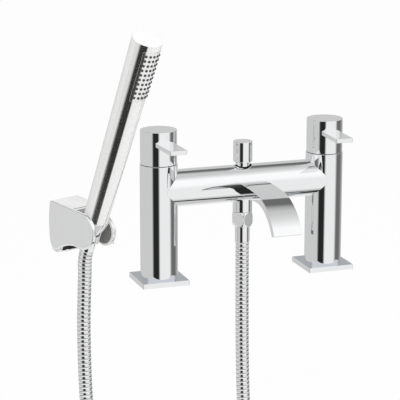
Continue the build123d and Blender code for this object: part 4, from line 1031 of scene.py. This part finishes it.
spray = {
    "low": 161.4, "high": 215.4, "half": 10.65, "corner": 1.2, "proud": 0.22, "under": 0.9, "stick": 14.7,
    "bend": 15.0,
}
nozzle = {
    "rows": 10, "columns": 5, "rowPitch": 5.0, "columnPitch": 4.2, "radius": 1.42, "rise": 1.1, "root": -0.6,
    "rim": 0.35, "bend": 0.75, "pinhole": 0.3,
}


def onStick(arc, height, raised):
    # a point this far round the stick's surface, at a height, lifted off it
    radius = stickRadius(height)
    turn = arc / radius
    spoke = np.cos(turn)[..., None] * sprayDir + np.sin(turn)[..., None] * across
    return swivel + height[..., None] * stickDir + (radius + raised)[..., None] * spoke


def sprayShell(size):
    # rings of a rounded rectangle that grow from its middle, roll over the edge and close underneath
    middle = (size["low"] + size["high"]) / 2
    halfArc = size["bend"] * math.asin(size["half"] / size["stick"])
    halfLength = (size["high"] - size["low"]) / 2 - 0.05
    corners = [(halfArc, halfLength), (-halfArc, halfLength), (-halfArc, -halfLength), (halfArc, -halfLength)]
    outline = subdivided(roundedOutline(corners, size["corner"], 4), 20)
    reach = np.concatenate([np.linspace(0, 0.985, 14), [0.992, 0.998, 1.0, 1.0, 0.985], np.linspace(0.8, 0, 5)])
    roll = size["proud"] - np.array([0.03, 0.09, 0.2])
    lifts = np.concatenate([np.full(14, size["proud"]), roll, np.full(7, -size["under"])])
    arc = reach[:, None] * outline[None, :, 0]
    height = middle + reach[:, None] * outline[None, :, 1]
    return onStick(arc, height, np.broadcast_to(lifts[:, None], arc.shape))


rings = sprayShell(spray)
addPiece(
    "sprayInsert", rings, gridFaces(rings.shape[0], rings.shape[1]), finishes["plated_plastic"], "handset_group",
    ["spray_plate"],
)


def nozzlePoints(size, around=14):
    # one small dome with a pinhole, repeated over the rows and columns of the insert
    row = (np.arange(size["rows"]) - (size["rows"] - 1) / 2) * size["rowPitch"] + (spray["low"] + spray["high"]) / 2
    column = (np.arange(size["columns"]) - (size["columns"] - 1) / 2) * size["columnPitch"]
    height, arc = (a.ravel() for a in np.meshgrid(row, column, indexing="ij"))
    radius = stickRadius(height)
    turn = arc / radius
    spoke = np.cos(turn)[:, None] * sprayDir + np.sin(turn)[:, None] * across
    side = -np.sin(turn)[:, None] * sprayDir + np.cos(turn)[:, None] * across
    r = size["radius"]
    root, rim, bend, pinhole = size["root"], size["rim"], size["bend"], size["pinhole"]
    profile = np.array([
        (0, root), (r, root), (r, rim), (0.93 * r, bend), (0.66 * r, size["rise"]), (0.3 * r, size["rise"]),
        (0.28 * r, pinhole), (0, pinhole),
    ])
    angle = np.linspace(0, 2 * math.pi, around, endpoint=False)
    ring = np.cos(angle)[:, None, None] * side[None] + np.sin(angle)[:, None, None] * stickDir
    base = swivel + height[:, None] * stickDir + radius[:, None] * spoke
    points = base[None, None] + profile[:, None, None, 1:2] * spoke + profile[:, None, None, 0:1] * ring[None]
    return points.transpose(2, 0, 1, 3)


points = nozzlePoints(nozzle)
one = np.array(gridFaces(points.shape[1], points.shape[2]))
each = points.shape[1] * points.shape[2]
faces = (one[None] + (np.arange(len(points)) * each)[:, None, None]).reshape(-1, 4).tolist()
addPiece(
    "sprayNozzles", points, faces, finishes["seal_rubber"], "handset_group", ["nozzle_mat"],
    creaseAngle=50,
)

profile = roundedOutline(
    [(0, cone["bottom"]), (cone["narrow"], cone["bottom"]), (cone["waist"], cone["waistHeight"]),
     (cone["wide"], cone["top"]), (0, cone["top"])],
    [0, 0.8, 4.0, 0.35, 0], closed=False,
)
addTurned(
    "coneNut", profile, stick, finishes["chrome_brass"], "handset_group",
    ["hose_cone_nut", "handset_connector"],
)
print("bracket and handset made")


# finishes of the CAD nodes that stay

for part in frame["record"]["subparts"]:
    kept = frame["nodes"][part["node"]]
    kept.data.materials.clear()
    kept.data.materials.append(finishes[part["material_slot"]])


# floor, lamps and the studio that the metal mirrors

floorLevel = -200.0


def addFloor():
    # pale floor: to the camera it is nearly the white of the surround and keeps a soft shadow
    mesh = bpy.data.meshes.new("floor")
    reach = 6.0
    corners = ((-reach, -reach), (reach, -reach), (reach, reach), (-reach, reach))
    mesh.from_pydata([(x, y, floorLevel * mm) for x, y in corners], [], [(0, 1, 2, 3)])
    floor = linked("floor", mesh)
    finish = bpy.data.materials.new("paleFloor")
    finish.use_nodes = True
    nodes, links = finish.node_tree.nodes, finish.node_tree.links
    shader = nodes["Principled BSDF"]
    fill(shader, {"Base Color": (0.9, 0.9, 0.9, 1), "Roughness": 0.9})
    glow = nodes.new("ShaderNodeEmission")
    fill(glow, {"Color": (1, 1, 1, 1), "Strength": 1.0})
    path = nodes.new("ShaderNodeLightPath")
    seen = nodes.new("ShaderNodeMath")
    seen.operation = "MULTIPLY"
    seen.inputs[1].default_value = 0.96
    links.new(path.outputs["Is Camera Ray"], seen.inputs[0])
    mix = nodes.new("ShaderNodeMixShader")
    links.new(seen.outputs[0], mix.inputs["Fac"])
    links.new(shader.outputs[0], mix.inputs[1])
    links.new(glow.outputs[0], mix.inputs[2])
    links.new(mix.outputs[0], nodes["Material Output"].inputs["Surface"])
    mesh.materials.append(finish)
    floor.visible_glossy = False


def addLamp(name, place, aim, size, power):
    data = bpy.data.lights.new(name, "AREA")
    data.shape = "DISK"
    data.size = size
    data.energy = power
    lamp = linked(name, data)
    origin, side, upside, back = basis(place, np.array(place) - np.array(aim))
    pose = np.eye(4)
    pose[:3, 0], pose[:3, 1], pose[:3, 2], pose[:3, 3] = side, upside, back, origin
    lamp.matrix_world = Matrix(pose.tolist())
    lamp.visible_glossy = False


# what the metal sees is a plain studio in five greys: azimuth is from the front, towards +X, and
# height is above the level, in degrees; ring is the view round at the level, lowRing below it, front
# and back the slopes above and far below, and low and level share these out over the heights
darkTone, dimTone, greyTone, paleTone, whiteTone = 0.02, 0.15, 0.6, 0.85, 1.0
studio = {
    # a grey wall behind, a dark flag at the left, a pale panel in front and a dim flag at the right
    "ring": (
        (-180, greyTone), (-60, greyTone), (-50, darkTone), (-20, darkTone), (-10, paleTone),
        (50, paleTone), (65, dimTone), (95, dimTone), (140, greyTone), (180, greyTone),
    ),
    "lowRing": (
        (-180, paleTone), (-85, paleTone), (-65, darkTone), (-15, darkTone), (-5, paleTone), (180, paleTone),
    ),
    # a bright ceiling in front, and a narrow dark strip far below
    "front": (
        (-90, greyTone), (-71, greyTone), (-70, darkTone), (-66, darkTone), (-65, greyTone),
        (0, paleTone), (25, whiteTone), (50, whiteTone), (70, greyTone), (90, greyTone),
    ),
    # a dim gap between the grey wall and the ceiling
    "back": (
        (-90, greyTone), (43, greyTone), (45, dimTone), (60, dimTone), (70, greyTone), (90, greyTone),
    ),
    "low": ((-28, 1.0), (-18, 0.0)),
    "level": ((-60, 0.0), (-55, 1.0), (0, 1.0), (14, 0.0)),
}


def rampOf(nodes, stops, low, high):
    ramp = nodes.new("ShaderNodeValToRGB")
    band = ramp.color_ramp
    while len(band.elements) > 1:
        band.elements.remove(band.elements[-1])
    for index, (place, tone) in enumerate(stops):
        at = (place - low) / (high - low)
        element = band.elements[0] if index == 0 else band.elements.new(at)
        element.position = at
        element.color = (tone, tone, tone, 1)
    return ramp


def addStudio():
    world = bpy.data.worlds.new("studio")
    bpy.context.scene.world = world
    world.use_nodes = True
    nodes, links = world.node_tree.nodes, world.node_tree.links

    def maths(operation, *values):
        node = nodes.new("ShaderNodeMath")
        node.operation = operation
        for socket, value in zip(node.inputs, values):
            if isinstance(value, (int, float)):
                socket.default_value = value
            else:
                links.new(value, socket)
        return node.outputs[0]

    def choose(ray, otherwise, seen):
        # a shader that rays of one kind see, and another for the rest
        mix = nodes.new("ShaderNodeMixShader")
        links.new(path.outputs[ray], mix.inputs["Fac"])
        links.new(otherwise.outputs[0], mix.inputs[1])
        links.new(seen.outputs[0], mix.inputs[2])
        return mix

    where = nodes.new("ShaderNodeTexCoord")
    split = nodes.new("ShaderNodeSeparateXYZ")
    links.new(where.outputs["Generated"], split.inputs[0])
    x, y, z = split.outputs
    azimuth = maths("ARCTAN2", x, maths("MULTIPLY", y, -1.0))
    roundShare = maths("MULTIPLY_ADD", azimuth, 1 / (2 * math.pi), 0.5)
    heightShare = maths("MULTIPLY_ADD", maths("ARCSINE", z), 1 / math.pi, 0.5)
    ring, lowRing = (rampOf(nodes, studio[key], -180, 180) for key in ("ring", "lowRing"))
    for ramp in (ring, lowRing):
        links.new(roundShare, ramp.inputs[0])
    front, back, low, level = (rampOf(nodes, studio[key], -90, 90) for key in ("front", "back", "low", "level"))
    for ramp in (front, back, low, level):
        links.new(heightShare, ramp.inputs[0])
    around = toneMix(nodes, links, ring.outputs[0], lowRing.outputs[0], low.outputs[0])
    behind = maths("MULTIPLY_ADD", y, 4.0, 0.5)
    behind.node.use_clamp = True
    slope = toneMix(nodes, links, front.outputs[0], back.outputs[0], behind)
    mirrored = toneMix(nodes, links, slope, around, level.outputs[0])
    path = nodes.new("ShaderNodeLightPath")
    sheen = nodes.new("ShaderNodeBackground")
    links.new(mirrored, sheen.inputs["Color"])
    plain = nodes.new("ShaderNodeBackground")
    fill(plain, {"Color": (1, 1, 1, 1), "Strength": 0.55})
    white = nodes.new("ShaderNodeBackground")
    fill(white, {"Color": (1, 1, 1, 1)})
    lit = choose("Is Glossy Ray", plain, sheen)
    seen = choose("Is Camera Ray", lit, white)
    links.new(seen.outputs[0], nodes["World Output"].inputs["Surface"])


# the hose, handset and bracket, left of mirrorStop, are left out of the mirror images in the pillars
# and in each other, as in the photograph, where the pillars are clean
mirrorStop = -0.115
for piece in bpy.context.scene.objects:
    if piece.type == "MESH":
        middle = np.mean([piece.matrix_world @ Vector(corner) for corner in piece.bound_box], axis=0)
        piece.visible_glossy = bool(middle[0] > mirrorStop and piece.name != "ribbedHose")
addFloor()
addLamp("keyLamp", (-0.9, -1.3, 1.5), (-0.05, 0, 0), 1.2, 22)
addLamp("fillLamp", (1.3, -0.9, 0.9), (-0.05, 0, 0), 1.0, 9)
addStudio()
bpy.context.scene.view_settings.view_transform = "Standard"
print("floor, lamps and studio ready")
